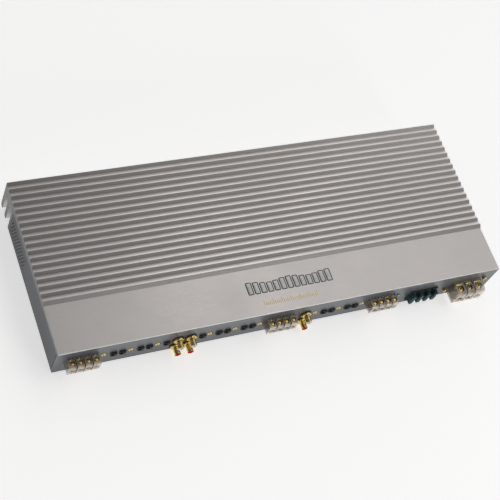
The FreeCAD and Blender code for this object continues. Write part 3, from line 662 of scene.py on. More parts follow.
def punched_pattern(tree: Tree, vector: object, color: object, rough: object, groups: dict) -> tuple:
    """Painted plate with painted shade in its punched holes and on its cut edges, and painted shade that
    darkens it towards the rear.
    """
    # painted shade: faces that don't look along X, the hole walls and cut edges, are painted near black
    cut = tree.math("LESS_THAN", tree.math("ABSOLUTE", tree.facing("X")), 0.5)
    rear_shade = tree.ramp(tree.along(vector, "Y"), 0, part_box("left_end_plate")[1].y, 0.0, 0.5)
    return tree.mix(rear_shade, tree.mix(cut, color, HOLE_SHADE), REAR_PLATE_SHADE), rough, 0.0, 1.0


PATTERNS = {
    Pattern.CASE: case_pattern,
    Pattern.BOARD: board_pattern,
    Pattern.WINDING: winding_pattern,
    Pattern.SLEEVE: sleeve_pattern,
    Pattern.CLEAR: clear_pattern,
    Pattern.PUNCHED: punched_pattern,
}

FINISHES = (
    Finish("case_aluminium", (0.63, 0.6, 0.585), (0.5, 0.485, 0.48), 1.0, 0.26, 0.1, (6.0, 260.0, 260.0),
           8.0, 9.0, tint=0.45, bump=0.12, dust=0.05, pattern=Pattern.CASE),
    Finish("end_plate_paint", (0.075, 0.08, 0.09), (0.1, 0.105, 0.115), 0.0, 0.42, 0.1, scale=1400.0,
           tint=0.5, bump=0.12, wear=0.35, worn_color=(0.32, 0.33, 0.35), pattern=Pattern.PUNCHED),
    Finish("black_steel", (0.006, 0.006, 0.007), (0.012, 0.012, 0.013), 0.0, 0.5, scale=1100.0, bump=0.12,
           wear=0.15),
    Finish("black_screws", (0.02, 0.02, 0.022), (0.05, 0.05, 0.052), 0.8, 0.34, scale=1500.0, bump=0.08,
           wear=0.5),
    Finish("circuit_board", (0.015, 0.09, 0.035), (0.02, 0.12, 0.05), 0.0, 0.3, coat=0.4,
           pattern=Pattern.BOARD),
    Finish("zinc_steel", (0.56, 0.56, 0.55), (0.42, 0.43, 0.44), 1.0, 0.32, 0.12, scale=500.0, patch=90.0,
           bump=0.1),
    Finish("clear_plastic", (0.9, 0.8, 0.66), (0.66, 0.48, 0.3), 0.0, 0.08, 0.04, scale=300.0, bump=0.02,
           dust=0.0, coat=1.0, specular=0.9, pattern=Pattern.CLEAR),
    Finish("gold_plate", (0.78, 0.6, 0.24), (0.56, 0.41, 0.12), 1.0, 0.17, 0.1, scale=600.0, patch=120.0,
           bump=0.05, dust=0.03),
    Finish("black_plastic", (0.018, 0.018, 0.019), (0.035, 0.035, 0.037), 0.0, 0.45, scale=2200.0,
           bump=0.16),
    Finish("switch_black", (0.01, 0.01, 0.011), (0.022, 0.022, 0.024), 0.0, 0.32, scale=2000.0, bump=0.1),
    Finish("white_plastic", (0.82, 0.8, 0.76), (0.7, 0.68, 0.63), 0.0, 0.35, scale=1500.0, bump=0.06),
    Finish("red_plastic", (0.5, 0.012, 0.01), (0.36, 0.008, 0.008), 0.0, 0.45, scale=1500.0, bump=0.06,
           dust=0.0, specular=0.2),
    Finish("fuse_teal", (0.004, 0.05, 0.056), (0.002, 0.03, 0.034), 0.0, 0.3, scale=900.0, bump=0.05,
           specular=0.3),
    Finish("lamp_lens", (0.6, 0.72, 0.82), (0.45, 0.58, 0.7), 0.0, 0.1, scale=700.0, bump=0.03, coat=0.8),
    Finish("copper_winding", (0.55, 0.2, 0.07), (0.4, 0.13, 0.04), 0.7, 0.32, pattern=Pattern.WINDING),
    Finish("capacitor_sleeve", (0.015, 0.02, 0.04), (0.03, 0.035, 0.06), 0.0, 0.3, pattern=Pattern.SLEEVE),
)


class Workshop:
    """Makes pieces: gives each its mesh, finish, body and the CAD nodes that it stands for."""

    def __init__(self) -> None:
        """Build the shared shader groups and every material, then dress the CAD nodes."""
        groups = {"grain": grain_group(), "wear": wear_and_shade_group(), "dust": dust_group()}
        self.materials = {finish.slot: finish.build(groups) for finish in FINISHES}
        self.count = 0
        for part in frame["record"]["subparts"]:
            piece = frame["nodes"].get(part["node"])
            if piece is not None:
                self.dress(piece, part["material_slot"])

    def dress(self, piece: bpy.types.Object, slot: str) -> None:
        """Give an object one material."""
        piece.data.materials.clear()
        piece.data.materials.append(self.materials[slot])

    def piece(self, name: str, shell: Shell, slot: str, body: str = CASE, stands_for: tuple[str, ...] = (),
              bevel: float = 0.0) -> None:
        """Make a finished piece.

        Args:
            name: piece's name.
            shell: its surface, already in place.
            slot: the record's material slot.
            body: CAD body that it moves with.
            stands_for: CAD nodes that it replaces.
            bevel: width of a Bevel modifier, or zero for none.
        """
        mesh = mesh_of(name, shell, MM)
        mesh.shade_smooth()
        mesh.set_sharp_from_angle(angle=SHARP_ANGLE)
        piece = added(name, mesh)
        if bevel:
            softened = piece.modifiers.new("softened_edges", "BEVEL")
            softened.width, softened.segments, softened.limit_method = bevel * MM, 2, "ANGLE"
            softened.angle_limit = BEVEL_ANGLE
            softened.harden_normals = True
        self.dress(piece, slot)
        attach(piece, body)
        if stands_for:
            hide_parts(*stands_for)
        self.count += 1
        LOG.info("%s: %d points, rides on %s", name, len(shell.points), body)


def corners(node: str) -> Array:
    """Lowest and highest corner of a CAD node, in millimetres."""
    return np.array([tuple(corner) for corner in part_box(node)]) / MM


def on_wall(place: Array) -> Array:
    """A place moved straight onto the front wall's outer face."""
    return np.array([place[0], corners("heatsink")[0][1], place[2]])


def mount_places(prefix: str) -> dict[str, Array]:
    """Places on the front wall of the record's mounts whose names start with a prefix."""
    return {mount["name"]: on_wall(np.array(mount["pos_m"]) / MM)
            for mount in frame["record"]["mounts"] if mount["name"].startswith(prefix)}


# ------------------------------------------------------------------ terminals


@dataclass
class ClearBlock:
    """What both kinds of clear terminal share.

    Heights run up from the underside and depths forward from the wall. The slot sizes are for the slots
    between poles, the shade_web sizes for the dark strips of painted shade in them, and the neck sizes for
    the part in the wall.
    """

    reach: float
    brow: float
    chin: float
    wire_height: float
    wire_mouth: float
    wire_depth: float
    screw_back: float
    well_lip: float
    slot_half: float
    slot_drop: float
    slot_back: float
    slot_sill: float
    slot_depth: float
    slot_corner: float
    shade_web: float
    shade_web_inset: float
    neck_length: float
    neck_edge: float
    facets: int
    neck_inset: float = 1.2
    clear: float = 0.4

    def wire_way(self, offset: Array, bore: float, flare: float) -> Shell:
        """Cutter for a wire's way in: a flare at the face that narrows to the bore with some clearance."""
        room = bore + self.clear
        profile = [(bore + flare, -1), (bore + flare, 0), (room, self.wire_mouth), (room, self.wire_depth)]
        return drill(profile, offset + (0, -self.reach, self.wire_height), Axis.Y, self.facets)

    def screw_well(self, offset: Array, inner: float, rim: float, floor: float, top: float) -> Shell:
        """Cutter for a screw's well, wider at its rim."""
        profile = [(inner, floor), (inner, top - self.well_lip), (rim, top), (rim, top + 1)]
        return drill(profile, offset + (0, -self.screw_back, 0), Axis.Z, self.facets)

    def slot(self, seam: float, top: float) -> list[Shell]:
        """Cutters for the slot between two poles: one along the top and one down the front."""
        spans = (((-self.reach - 1, top - self.slot_drop), (-self.slot_back, top + 2)),
                 ((-self.reach - 1, self.slot_sill), (self.slot_depth - self.reach, top + 2)))
        left, right = seam - self.slot_half, seam + self.slot_half
        return [rounded_block((left, *low), (right, *high), self.slot_corner, 0.2) for low, high in spans]

    def housing(self, width: float, top: float, cutters: list[Shell]) -> Shell:
        """Nosed block less its cutters, and the narrower neck that goes through the wall."""
        half, inset = width / 2 - self.neck_inset, self.neck_inset
        neck = rounded_block((-half, 0, inset), (half, self.neck_length, top - inset), 0.8, self.neck_edge)
        return joined([carved(nosed_block(width, self.reach, top, self.brow, self.chin), cutters), neck])

    def shade_webs(self, seams: list[float], top: float) -> Shell:
        """Dark strips of painted shade that fill the slots, a little below the surface."""
        inset = self.shade_web_inset
        shade_web = nosed_block(self.shade_web, self.reach - inset, top - 2 * inset, self.brow, self.chin)
        return repeated(shade_web, [(seam, 0, inset) for seam in seams])


@dataclass
class SpeakerTerminals(ClearBlock):
    """Three clear four-pole terminals with gold clamp cages and slotted screws."""

    reach: float = 13.2
    brow: float = 3.2
    chin: float = 1.2
    wire_height: float = 6.3
    wire_mouth: float = 1.4
    wire_depth: float = 3.2
    screw_back: float = 6.6
    well_lip: float = 0.5
    slot_half: float = 0.7
    slot_drop: float = 3
    slot_back: float = 1.5
    slot_sill: float = 0.9
    slot_depth: float = 1.6
    slot_corner: float = 0.4
    shade_web: float = 1.3
    shade_web_inset: float = 0.25
    neck_length: float = 8
    neck_edge: float = 0.4
    facets: int = 28
    poles: int = 4
    pitch: float = 10.2
    cage_half: float = 3.9
    cage_back: float = 2.5
    cage_front: float = 10.7
    cage_drop: float = 3.9
    room_gap: float = 0.15
    wire_radius: float = 2.9
    screw_radius: float = 2.75
    screw_top: float = 16.5
    names: tuple[str, ...] = ("speaker_terminal_1", "speaker_terminal_2", "speaker_terminal_3")

    def pole_offsets(self) -> list[Array]:
        """Middle of each pole from the middle of a terminal."""
        return [np.array([(index - (self.poles - 1) / 2) * self.pitch, 0, 0])
                for index in range(self.poles)]

    def seams(self) -> list[float]:
        """Place along X of each slot from the middle of a terminal."""
        return [offset[0] + self.pitch / 2 for offset in self.pole_offsets()[:-1]]

    def block(self, width: float, height: float) -> Shell:
        """One housing about the middle of its underside at the wall's face.

        Each pole has a cage room, a wire's way in, a screw well and two notches in the top rear edge.
        """
        cutters = []
        half, gap = self.cage_half + self.room_gap, self.room_gap
        for offset in self.pole_offsets():
            room_low = offset + (-half, -self.cage_front - gap, 1.5)
            room_high = offset + (half, gap - self.cage_back, height - 3.6)
            cutters.append(rounded_block(room_low, room_high, 0.5, 0.3))
            cutters.append(self.wire_way(offset, self.wire_radius, 1.5))
            cutters.append(self.screw_well(offset, self.screw_radius + 0.9, self.screw_radius + 1.3,
                                           height - 4.4, height))
            for step in (-0.25, 0.25):
                spot = (offset[0] + step * self.pitch, height + 0.6)
                cutters.append(prism(np.array([(-1.3, 0), (1.3, 0), (0, -1.9)]) + spot, -1.7, 1, Axis.Y))
        for seam in self.seams():
            cutters += self.slot(seam, height)
        return self.housing(width, height, cutters)

    def cage(self, height: float) -> Shell:
        """Clamp cage: a rounded block with a wire bore and a screw hole."""
        low = (-self.cage_half, -self.cage_front, 1.7)
        high = (self.cage_half, -self.cage_back, height - self.cage_drop)
        mouth = (0, -self.cage_front, self.wire_height)
        bore = drill([(self.wire_radius, -1), (self.wire_radius, 9)], mouth, Axis.Y, self.facets)
        hole = drill([(1.8, 0), (1.8, 9)], (0, -self.screw_back, self.wire_height), Axis.Z, 24)
        return carved(rounded_block(low, high, 0.6, 0.35), [bore, hole])

    def screw(self) -> Shell:
        """Slotted clamp screw: a domed head over a shank."""
        top, radius = self.screw_top, self.screw_radius
        profile = [(1.75, top - 6.8), (1.75, top - 3), (radius - 0.2, top - 3), (radius, top - 2.8),
                   (radius, top - 0.7), (radius - 0.25, top - 0.25), (radius - 0.8, top),
                   (radius * 0.4, top + 0.08)]
        slot = rounded_block((-4, -self.screw_back - 0.45, top - 1.2), (4, 0.45 - self.screw_back, top + 2),
                             0.1, 0.05, Axis.X)
        return carved(turned(profile, (0, -self.screw_back, 0), Axis.Z, 32), [slot])

    def build(self, shop: Workshop) -> None:
        """Make the housings, the dark strips of painted shade in their slots, the cages and the screws."""
        boxes = [corners(name) for name in self.names]
        spots = [on_wall((low + high) / 2) * (1, 1, 0) + (0, 0, low[2]) for low, high in boxes]
        width, _, height = boxes[-1][1] - boxes[-1][0]
        block = self.block(width, height)
        for number, (name, spot) in enumerate(zip(self.names, spots), start=1):
            shop.piece(f"speaker_housing_{number}", block.moved(spot), "clear_plastic", stands_for=(name,),
                       bevel=0.18)
        poles = [spot + offset for spot in spots for offset in self.pole_offsets()]
        # painted shade: dark strips set in the slots between poles, where there is only shade
        shop.piece("speaker_dividers", repeated(self.shade_webs(self.seams(), height), spots), "black_plastic")
        shop.piece("speaker_cages", repeated(self.cage(height), poles), "gold_plate",
                   stands_for=("speaker_clamps",))
        shop.piece("speaker_screws", repeated(self.screw(), poles), "gold_plate",
                   stands_for=("speaker_clamp_screws",))


@dataclass
class PowerTerminal(ClearBlock):
    """Clear three-pole power block with gold cages, straps and socket screws, and its two fixing screws."""

    reach: float = 19.2
    brow: float = 6
    chin: float = 1.4
    wire_height: float = 8.6
    wire_mouth: float = 1.3
    wire_depth: float = 3.4
    screw_back: float = 10
    well_lip: float = 0.6
    slot_half: float = 0.8
    slot_drop: float = 4.5
    slot_back: float = 1
    slot_sill: float = 1.2
    slot_depth: float = 2
    slot_corner: float = 0.5
    shade_web: float = 1.5
    shade_web_inset: float = 0.3
    neck_length: float = 3
    neck_edge: float = 0.3
    facets: int = 36
    height: float = 25
    width: float = 45.2
    pitch: float = 14.9
    seam: float = 6.5
    halves: tuple[float, ...] = (6.4, 4.4, 6.4)
    bores: tuple[float, ...] = (4.6, 3, 4.6)
    heads: tuple[float, ...] = (3.8, 3, 3.8)
    cage_top: float = 19
    screw_top: float = 23.4
    fixing_radius: float = 3.1

    def columns(self) -> list[tuple[Array, float, float, float]]:
        """Middle, cage half width, bore and screw head radius of each pole."""
        return [(np.array([(index - 1) * self.pitch, 0, 0]), *sizes)
                for index, sizes in enumerate(zip(self.halves, self.bores, self.heads))]

    def block(self) -> Shell:
        """Housing about the middle of its underside at the wall's face.

        Each pole has a cage room, a chimney for its strap, a wire's way in and a screw well.
        """
        cutters = []
        top, roof = self.cage_top, self.height
        for offset, cage, bore, head in self.columns():
            room = rounded_block((-cage - 0.2, -15.9, 1.9), (cage + 0.2, -2.1, top + 0.2), 0.6, 0.3)
            low, high = (-cage - 0.1, -4.9, top - 1), (cage + 0.1, -2.1, roof + 2)
            chimney = rounded_block(low, high, 0.4, 0.2, Axis.Z)
            cutters += [room.moved(offset), chimney.moved(offset)]
            cutters.append(self.wire_way(offset, bore, 1.3))
            cutters.append(self.screw_well(offset, head + 1, head + 1.5, top - 1, roof))
        for side in (-1, 1):
            cutters += self.slot(side * self.seam, roof)
        return self.housing(self.width, roof, cutters)

    def cage(self, half: float, bore: float, head: float) -> Shell:
        """Clamp barrel with a wire bore and a screw hole, and the strap that stands up behind it."""
        barrel = rounded_block((-half, -15.7, 2.1), (half, -2.3, self.cage_top), 0.8, 0.4)
        wire = drill([(bore, 0), (bore, 14)], (0, -16.2, self.wire_height), Axis.Y, self.facets)
        hole = drill([(head - 1, 0), (head - 1, 14)], (0, -self.screw_back, self.wire_height), Axis.Z, 32)
        side, low, high = half - 0.1, self.cage_top - 0.6, self.height + 0.4
        strap = rounded_block((-side, -4.8, low), (side, -2.3, high), 0.35, 0.3, Axis.X)
        return joined([carved(barrel, [wire, hole]), strap])

    def screw(self, bore: float, head: float) -> Shell:
        """Domed screw with a hexagon socket."""
        low, top, seat = self.wire_height + bore + 0.4, self.screw_top, self.cage_top
        profile = [(head - 1.05, low), (head - 1.05, seat + 0.2), (head - 0.3, seat + 0.2),
                   (head, seat + 0.5), (head, top - 0.9), (head - 0.3, top - 0.3), (head - 0.9, top)]
        socket = prism(circle(head * 0.55, 6) + (0, -self.screw_back), top - 2, top + 1, Axis.Z)
        return carved(turned(profile, (0, -self.screw_back, 0), Axis.Z, 40), [socket])

    def fixing_screws(self) -> Shell:
        """Two tall domed screws, one in each far corner of their node's box."""
        low, high = corners("terminal_fixing_screws")
        profile = [(1.45, 6.5), (1.45, 0.02), (2.95, 0), (3.1, -0.2), (3.1, -2.9), (3.0, -3.35),
                   (2.7, -3.75), (2.2, -4.03), (1.2, -4.18)]
        screw = carved(turned(profile, (0, 0, 0), Axis.Y, 36), [prism(circle(1.5, 6), -5, -2.6, Axis.Y)])
        return repeated(screw, [on_wall(low + self.fixing_radius), on_wall(high - self.fixing_radius)])

    def build(self, shop: Workshop) -> None:
        """Make the block, its rear plate, the dark strips of painted shade in its slots, cages, clamp
        screws and fixing screws.
        """
        low, high = corners("power_terminal")
        middle = np.mean(list(mount_places("power_wire_").values()), axis=0)
        spot = np.array([middle[0], middle[1], low[2]])
        plate = rounded_block((low[0], spot[1] + 3.05, low[2] + 1.2), high, 2, 0.4)
        shop.piece("power_housing", joined([self.block().moved(spot), plate]), "clear_plastic",
                   stands_for=("power_terminal",), bevel=0.2)
        cages, screws = [], []
        for offset, cage, bore, head in self.columns():
            cages.append(self.cage(cage, bore, head).moved(spot + offset))
            screws.append(self.screw(bore, head).moved(spot + offset))
        # painted shade: dark strips set in the slots between poles, where there is only shade
        shade_webs = self.shade_webs([-self.seam, self.seam], self.height).moved(spot)
        shop.piece("power_dividers", shade_webs, "black_plastic")
        shop.piece("power_cages", joined(cages), "gold_plate", stands_for=("power_clamps",))
        shop.piece("power_screws", joined(screws), "gold_plate", stands_for=("power_clamp_screws",))
        shop.piece("terminal_screws", self.fixing_screws(), "gold_plate",
                   stands_for=("terminal_fixing_screws",))


@dataclass
class PhonoSockets:
    """Six phono sockets: washers, turned shells, coloured insulators and contacts."""

    facets: int = 56
    ring_facets: int = 48
    contact_facets: int = 32

    def washer(self) -> Shell:
        """Flat washer with broken edges, as a closed section turned about Y."""
        section = [(4.95, -0.05), (7.9, -0.05), (8.1, -0.25), (8.1, -0.6), (7.9, -0.8), (4.95, -0.8)]
        return turned(section, (0, 0, 0), Axis.Y, self.facets, loop=True)

    def shell(self) -> Shell:
        """Collar with a step, a cone, a barrel with one rolled groove and a rounded mouth."""
        groove = [(4.15, -8.2), (3.98, -8.35), (3.98, -8.6), (4.15, -8.75)]
        section = [(3.42, 6), (4.88, 6), (4.88, -0.8), (6.55, -0.8), (6.9, -1.1), (6.9, -2.4), (6.65, -2.8),
                   (6.1, -3.0), (5.4, -3.25), (4.75, -4.1), (4.4, -4.8), (4.15, -5.4)] + groove
        section += [(4.15, -11.9), (4.12, -12.4), (3.95, -12.85), (3.7, -13.0), (3.5, -12.9), (3.42, -12.6)]
        return turned(section, (0, 0, 0), Axis.Y, self.facets, loop=True)

    def insulator(self) -> Shell:
        """Ring whose flange covers the barrel's mouth, with a bore for the pin."""
        section = [(3.38, 6), (3.38, -12.95), (3.95, -13.02), (4.1, -13.15), (4.05, -13.35), (3.8, -13.45),
                   (2.6, -13.45), (2.0, -13.35), (1.8, -13.1), (1.75, -12.8), (1.75, -9.3), (2.52, -9.3),
                   (2.52, 6)]
        return turned(section, (0, 0, 0), Axis.Y, self.ring_facets, loop=True)

    def contact(self) -> Shell:
        """Sprung centre tube, closed at its rear, with a flared mouth."""
        profile = [(2.45, 6), (2.45, -9.2), (2.3, -9.5), (1.85, -9.45), (1.65, -9.1), (1.65, -1)]
        return drill(profile, (0, 0, 0), Axis.Y, self.contact_facets)

    def build(self, shop: Workshop) -> None:
        """Make every socket's pieces from the record's phono mounts."""
        spots = mount_places("phono_")
        upper = [spot for name, spot in spots.items() if name.endswith("upper")]
        lower = [spot for name, spot in spots.items() if name.endswith("lower")]
        every = upper + lower
        shop.piece("phono_washers", repeated(self.washer(), every), "black_plastic",
                   stands_for=("rca_washers",))
        shop.piece("phono_shells", repeated(self.shell(), every), "gold_plate", stands_for=("rca_shells",))
        shop.piece("phono_white_rings", repeated(self.insulator(), upper), "white_plastic",
                   stands_for=("rca_white_insulators",))
        shop.piece("phono_red_rings", repeated(self.insulator(), lower), "red_plastic",
                   stands_for=("rca_red_insulators",))
        shop.piece("phono_contacts", repeated(self.contact(), every), "gold_plate",
                   stands_for=("rca_contacts",))


@dataclass
class LevelKnobs:
    """Nine slotted level knobs, each on its own body."""

    flutes: int = 36
    flute_depth: float = 0.1

    def shape(self) -> Shell:
        """Knob about zero at the wall's face.

        The rim's radius is radius - depth (1 + cos(flutes t)) / 2, so it has fine flutes; the face is
        slightly dished and has a rounded screwdriver slot.
        """
        rows = np.array([(2, 7.4), (2, 1.25), (3.45, 1.2), (3.6, 1.0), (3.6, 0.15), (3.4, -0.15),
                         (3.15, -0.3), (2.85, -0.28), (2.4, -0.16), (1.2, -0.12)])
        count = self.flutes * 4
        turn = np.linspace(0, 2 * math.pi, count, endpoint=False)
        flute = self.flute_depth * (1 + np.cos(self.flutes * turn)) / 2
        radii = rows[:, :1] - flute * (rows[:, :1] > 3.5)
        along = np.broadcast_to(rows[:, 1:], radii.shape)
        rings = placed(np.stack([radii * np.cos(turn), radii * np.sin(turn), along], -1), Axis.Y)
        slot = rounded_block((-0.5, -1.5, -5), (0.5, 0.65, 5), 0.15, 0.05, Axis.Z)
        return carved(skin(rings), [slot])

    def build(self, shop: Workshop) -> None:
        """Put one knob on each knob joint."""
        shape = self.shape()
        for joint in frame["joints"]:
            if joint["name"].startswith("level_knob_"):
                body, place = joint["child"], on_wall(np.array(joint["pos_m"]) / MM)
                name = body.replace("level_knob", "knob")
                shop.piece(name, shape.moved(place), "gold_plate", body, (body,))


@dataclass
class SlideSwitches:
    """Fourteen slide switches: one bezel with a window each, and a ribbed slider that runs in it."""

    frame_size: tuple[float, float] = (8.4, 8.8)
    window: tuple[float, float] = (3.7, 3.3)
    proud: float = 2
    slider_face: float = 2.9
    rest_right: float = 3.6
    rib_pitch: float = 1.15
    rib_height: float = 0.5

    def bezel(self) -> Shell:
        """Rounded frame with a window and the slot that the slider's stem runs in."""
        wide, tall = self.frame_size[0] / 2, self.frame_size[1] / 2
        stock = rounded_block((-wide, -self.proud, -tall), (wide, 9, tall), 1.3, 0.28)
        across, upward = self.window
        window = rounded_block((-across, -self.proud - 1, -upward), (across, 2.3, upward), 0.5, 0.1)
        slot = rounded_block((-across, 2, -1.2), (across, 5, 1.2), 0.2, 0.1)
        return carved(stock, [window, slot])

    def slider(self, width: float, tall: float) -> Shell:
        """Slider face and its stem.

        The face has upright ribs: depth = height (1 - |cos(pi x / pitch)|) along its width.
        """
        across = np.linspace(0, width, 49)
        inner = np.clip((across - 0.25) / self.rib_pitch, 0, (width - 0.5) / self.rib_pitch)
        depth = self.rib_height * (1 - np.abs(np.cos(math.pi * inner)))
        outline = np.concatenate([np.stack([across, depth - self.slider_face], -1), [[width, 2], [0, 2]]])
        outline[:, 0] += self.rest_right - width
        face = prism(outline, -tall / 2, tall / 2, Axis.Z)
        stem = rounded_block((1.2, 1.9, -0.9), (2.4, 4.6, 0.9), 0.2, 0.1)
        return joined([face, stem])

    def build(self, shop: Workshop) -> None:
        """Put one slider on each switch body and one bezel behind each."""
        spots = []
        low, high = corners("switch_frames")
        bodies = sorted(name for name in frame["bodies"] if name.startswith("switch_slider_"))
        for body in bodies:
            start, stop = corners(body)
            spot = on_wall((stop[0] - self.rest_right, 0, (low[2] + high[2]) / 2))
            shape = self.slider(stop[0] - start[0], stop[2] - start[2]).moved(spot)
            shop.piece(body.replace("switch_", ""), shape, "switch_black", body, (body,), bevel=0.08)
            spots.append(spot)
        shop.piece("switch_bezels", repeated(self.bezel(), spots), "switch_black",
                   stands_for=("switch_frames",))


@dataclass
class Fuses:
    """Four blade fuses that pull out, and the rounded lips of their holder's collars."""

    wide: float = 19.1
    thick: float = 5.1
    reach: float = 9.2
    inside: float = 4.1
    collar: tuple[float, float] = (8.6, 23.4)

    def body(self) -> Shell:
        """Moulded body: a head over a narrower waist, with a recess and two test holes in its face."""
        half, tall = self.thick / 2, self.wide / 2
        head = rounded_block((-half, -self.reach, -tall), (half, self.inside - 3, tall), 0.8, 0.6)
        upper = tall - 1.7
        waist = rounded_block((-half, self.inside - 3.3, -upper), (half, self.inside, upper), 0.5, 0.3)
        cutters = [rounded_block((-1.5, -self.reach - 1, -2.6), (1.5, 0.7 - self.reach, 2.6), 0.6, 0.1)]
        front, back = 1.6 - self.reach, self.inside - 3.6
        for side in (-1, 1):
            cutters.append(drill([(0.95, -1), (0.95, 1.5)], (0, -self.reach, side * 5.6), Axis.Y, 20))
            middle = side * (half + 1)
            for level in (-5.2, 5.2):
                low, high = (middle - 1.3, front, level - 2.2), (middle + 1.3, back, level + 2.2)
                cutters.append(rounded_block(low, high, 0.5, 0.3))
        return joined([carved(head, cutters), waist])

    def blades(self) -> Shell:
        """Two flat blades with tapered tips."""
        outline = np.array([(4.0, -2.1), (4.0, 2.1), (9.8, 2.1), (11.0, 1.4), (11.0, -1.4), (9.8, -2.1)])
        return joined([prism(outline + (0, side * 5.2), -0.35, 0.35, Axis.X) for side in (-1, 1)])

    def lips(self) -> Shell:
        """Rounded lip on the front edge of one collar, as a half-round section carried round it."""
        section = [(0.0, -1.5), (0.05, -1.95), (0.35, -2.2), (0.75, -2.2), (1.1, -2.0), (1.2, -1.5)]
        return framed(self.collar, 1.3, section, Axis.Y)

    def build(self, shop: Workshop) -> None:
        """Put a body and its blades on each fuse, and a lip on each collar."""
        bodies = sorted(name for name in frame["bodies"] if name.startswith("fuse_"))
        body_shape, blade_shape, spots = self.body(), self.blades(), []
        for body in bodies:
            spot = on_wall(corners(body).mean(0))
            name = body.replace("fuse", "fuse_body")
            shop.piece(name, body_shape.moved(spot), "fuse_teal", body, (body,))
            shop.piece(body.replace("fuse", "fuse_blades"), blade_shape.moved(spot), "zinc_steel", body)
            spots.append(spot)
        shop.piece("fuse_collar_lips", repeated(self.lips(), spots), "black_plastic")


@dataclass
class Lamp:
    """Status lamp: a domed lens in a thin collar of black plastic."""

    radius: float = 1.5

    def build(self, shop: Workshop) -> None:
        """Make the lens and its collar."""
        spot = on_wall(corners("status_led").mean(0))
        turn = np.linspace(0, math.pi / 2 - 0.05, 9)
        dome = np.stack([self.radius * np.cos(turn), -0.6 - self.radius * np.sin(turn)], -1)
        profile = np.concatenate([[[self.radius * 0.97, 8]], dome])
        shop.piece("lamp_lens", turned(profile, spot, Axis.Y, 32), "lamp_lens", stands_for=("status_led",))
        section = [(1.55, -0.02), (2.1, -0.02), (2.2, -0.2), (2.0, -0.45), (1.6, -0.5), (1.55, -0.3)]
        shop.piece("lamp_collar", turned(section, spot, Axis.Y, 32, loop=True), "black_plastic")


@dataclass
class Badge:
    """Raised level-meter motif on the plate: outlined upright bars over a gold tick scale."""

    start: float = 262
    stop: float = 387
    front: float = 30
    back: float = 48
    bars: int = 13
    line: float = 0.9
    raised: float = 0.35
    scale_start: float = 280
    scale_stop: float = 357
    scale_front: float = 12.5
    ticks: int = 31
    tick_wide: float = 0.8
    sunk: float = 4

    def bar(self, wide: float, tall: float) -> tuple[Shell, Shell]:
        """Outline ring and inner pad of one bar, both rounded, about zero."""
        section = [(0, -0.02), (0, self.raised * 0.7), (0.15, self.raised), (self.line - 0.15, self.raised),
                   (self.line, self.raised * 0.7), (self.line, -0.02)]
        across, along = wide / 2 - self.line - 0.2, tall / 2 - self.line - 0.2
        high = (across, along, self.raised * 0.55)
        pad = rounded_block((-across, -along, -0.05), high, 0.6, 0.12, Axis.Z)
        return framed((wide, tall), 1.6, section, Axis.Z), pad

    def build(self, shop: Workshop) -> None:
        """Make the rings, the pads and the gold scale."""
        low, high = corners("heatsink")
        top = high[2] - self.sunk
        pitch = (self.stop - self.start) / self.bars
        rings, pads = [], []
        for index in range(self.bars):
            tall = (self.back - self.front) * (0.9 + 0.1 * math.cos(4 * math.pi * index / (self.bars - 1)))
            ring, pad = self.bar(pitch * 0.86, tall)
            spot = (low[0] + self.start + (index + 0.5) * pitch, low[1] + self.front + tall / 2, top)
            rings.append(ring.moved(spot))
            pads.append(pad.moved(spot))
        shop.piece("badge_outlines", joined(rings), "black_steel")
        shop.piece("badge_pads", joined(pads), "zinc_steel")
        shop.piece("badge_ticks", self.scale().moved((low[0], low[1], top)), "gold_plate")

    def scale(self) -> Shell:
        """Upright ticks, every fifth one taller, from the plate's front left corner."""
        made = []
        for index in range(self.ticks):
            along = self.scale_start + (self.scale_stop - self.scale_start) * index / (self.ticks - 1)
            tall = 8 if index % 5 == 0 else 5
            low = (along - self.tick_wide / 2, self.scale_front, -0.02)
            high = (along + self.tick_wide / 2, self.scale_front + tall, 0.18)
            made.append(rounded_block(low, high, 0.3, 0.08, Axis.Z))
        return joined(made)


# ------------------------------------------------------------------ studio


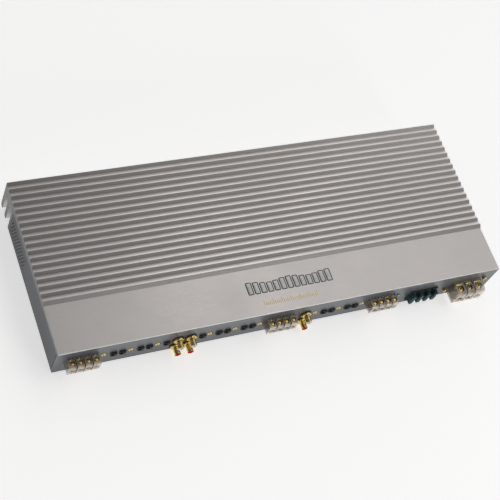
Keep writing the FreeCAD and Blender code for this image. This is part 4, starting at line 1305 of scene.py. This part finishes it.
@dataclass
class Studio:
    """Floor, soft light and camera."""

    eye: tuple[float, float, float] = (-0.7318, -0.6806, 1.4329)
    forward: tuple[float, float, float] = (0.4158, 0.3887, -0.8222)
    upward: tuple[float, float, float] = (0.1550, 0.8606, 0.4852)
    lens: float = 92.84
    sensor: float = 36.0
    floor_half: float = 12.0

    def camera(self) -> None:
        """Camera at the eye: its axes are right = forward x up, up, and minus forward."""
        data = bpy.data.cameras.new("camera")
        data.lens, data.sensor_width = self.lens, self.sensor
        data.clip_start, data.clip_end = 0.05, 60
        camera = added("camera", data)
        ahead = Vector(self.forward).normalized()
        right = ahead.cross(Vector(self.upward)).normalized()
        turn = Matrix((right, right.cross(ahead), -ahead)).transposed().to_4x4()
        camera.matrix_world = Matrix.Translation(self.eye) @ turn
        bpy.context.scene.camera = camera

    def floor(self) -> None:
        """Plain pale floor under the lowest point of the case."""
        half, level = self.floor_half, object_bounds()[0].z - 0.1 * MM
        mesh = bpy.data.meshes.new("floor")
        spots = [(-half, -half, level), (half, -half, level), (half, half, level), (-half, half, level)]
        mesh.from_pydata(spots, [], [(0, 1, 2, 3)])
        floor = added("floor", mesh)
        material = bpy.data.materials.new("floor")
        material.use_nodes = True
        inputs = material.node_tree.nodes["Principled BSDF"].inputs
        for name, value in (("Base Color", (0.9, 0.9, 0.9, 1)), ("Roughness", 0.9),
                            ("Specular IOR Level", 0.0), ("Emission Color", (1, 1, 1, 1)),
                            ("Emission Strength", 0.6)):
            inputs[name].default_value = value
        mesh.materials.append(material)
        floor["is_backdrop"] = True

    def sky(self) -> None:
        """Soft studio: dark in front, bright behind, and dimmer towards both sides."""
        world = bpy.data.worlds.new("studio")
        bpy.context.scene.world = world
        world.use_nodes = True
        world.node_tree.nodes.clear()
        tree = Tree(world.node_tree)
        across, ahead = (tree.along(tree.add("TexCoord").outputs["Generated"], axis) for axis in "XY")
        level = tree.times(tree.ramp(ahead, -0.4, 0.28, 0.35, 1.12), tree.ramp(ahead, 0.45, 0.85, 1.0, 1.5),
                           tree.ramp(across, 0.2, 0.38, 0.15, 1.0), tree.ramp(across, 0.44, 0.66, 1.0, 0.5))
        seen = tree.add("LightPath").outputs["Is Camera Ray"]
        strength = tree.add("Mix", {0: seen, 2: level, 3: 1.0}, data_type="FLOAT").outputs[0]
        background = tree.add("Background", {"Color": (1, 0.985, 0.97, 1), "Strength": strength})
        tree.link(background.outputs[0], tree.add("OutputWorld"), "Surface")

    def lamp(self, name: str, place: tuple, size: float, power: float) -> None:
        """Square soft light that looks at the origin."""
        data = bpy.data.lights.new(name, "AREA")
        data.energy, data.size = power, size
        light = added(name, data)
        light.location = place
        light.rotation_euler = (-Vector(place)).to_track_quat("-Z", "Y").to_euler()

    def build(self) -> None:
        """Set up the whole studio."""
        self.camera()
        self.floor()
        self.sky()
        self.lamp("key", (1.4, -0.5, 1.6), 0.9, 3)
        self.lamp("low_front", (0.98, -2.16, 0.4), 0.8, 10)
        self.lamp("soft_front", (-0.9, -2.2, 0.3), 1.2, 3)
        self.lamp("left", (-1.6, -0.2, 0.5), 1.2, 0.5)
        scene = bpy.context.scene
        scene.view_settings.view_transform = "Standard"
        scene.view_settings.look = "None"


def main() -> None:
    """Build the studio and every sub-assembly, and report what was made."""
    logging.basicConfig(level=logging.INFO, format="%(name)s %(message)s")
    Studio().build()
    shop = Workshop()
    for assembly in (SpeakerTerminals(), PowerTerminal(), PhonoSockets(), LevelKnobs(), SlideSwitches(),
                     Fuses(), Lamp(), Badge()):
        assembly.build(shop)
    LOG.info("%d pieces made", shop.count)


if __name__ == "__main__":
    main()
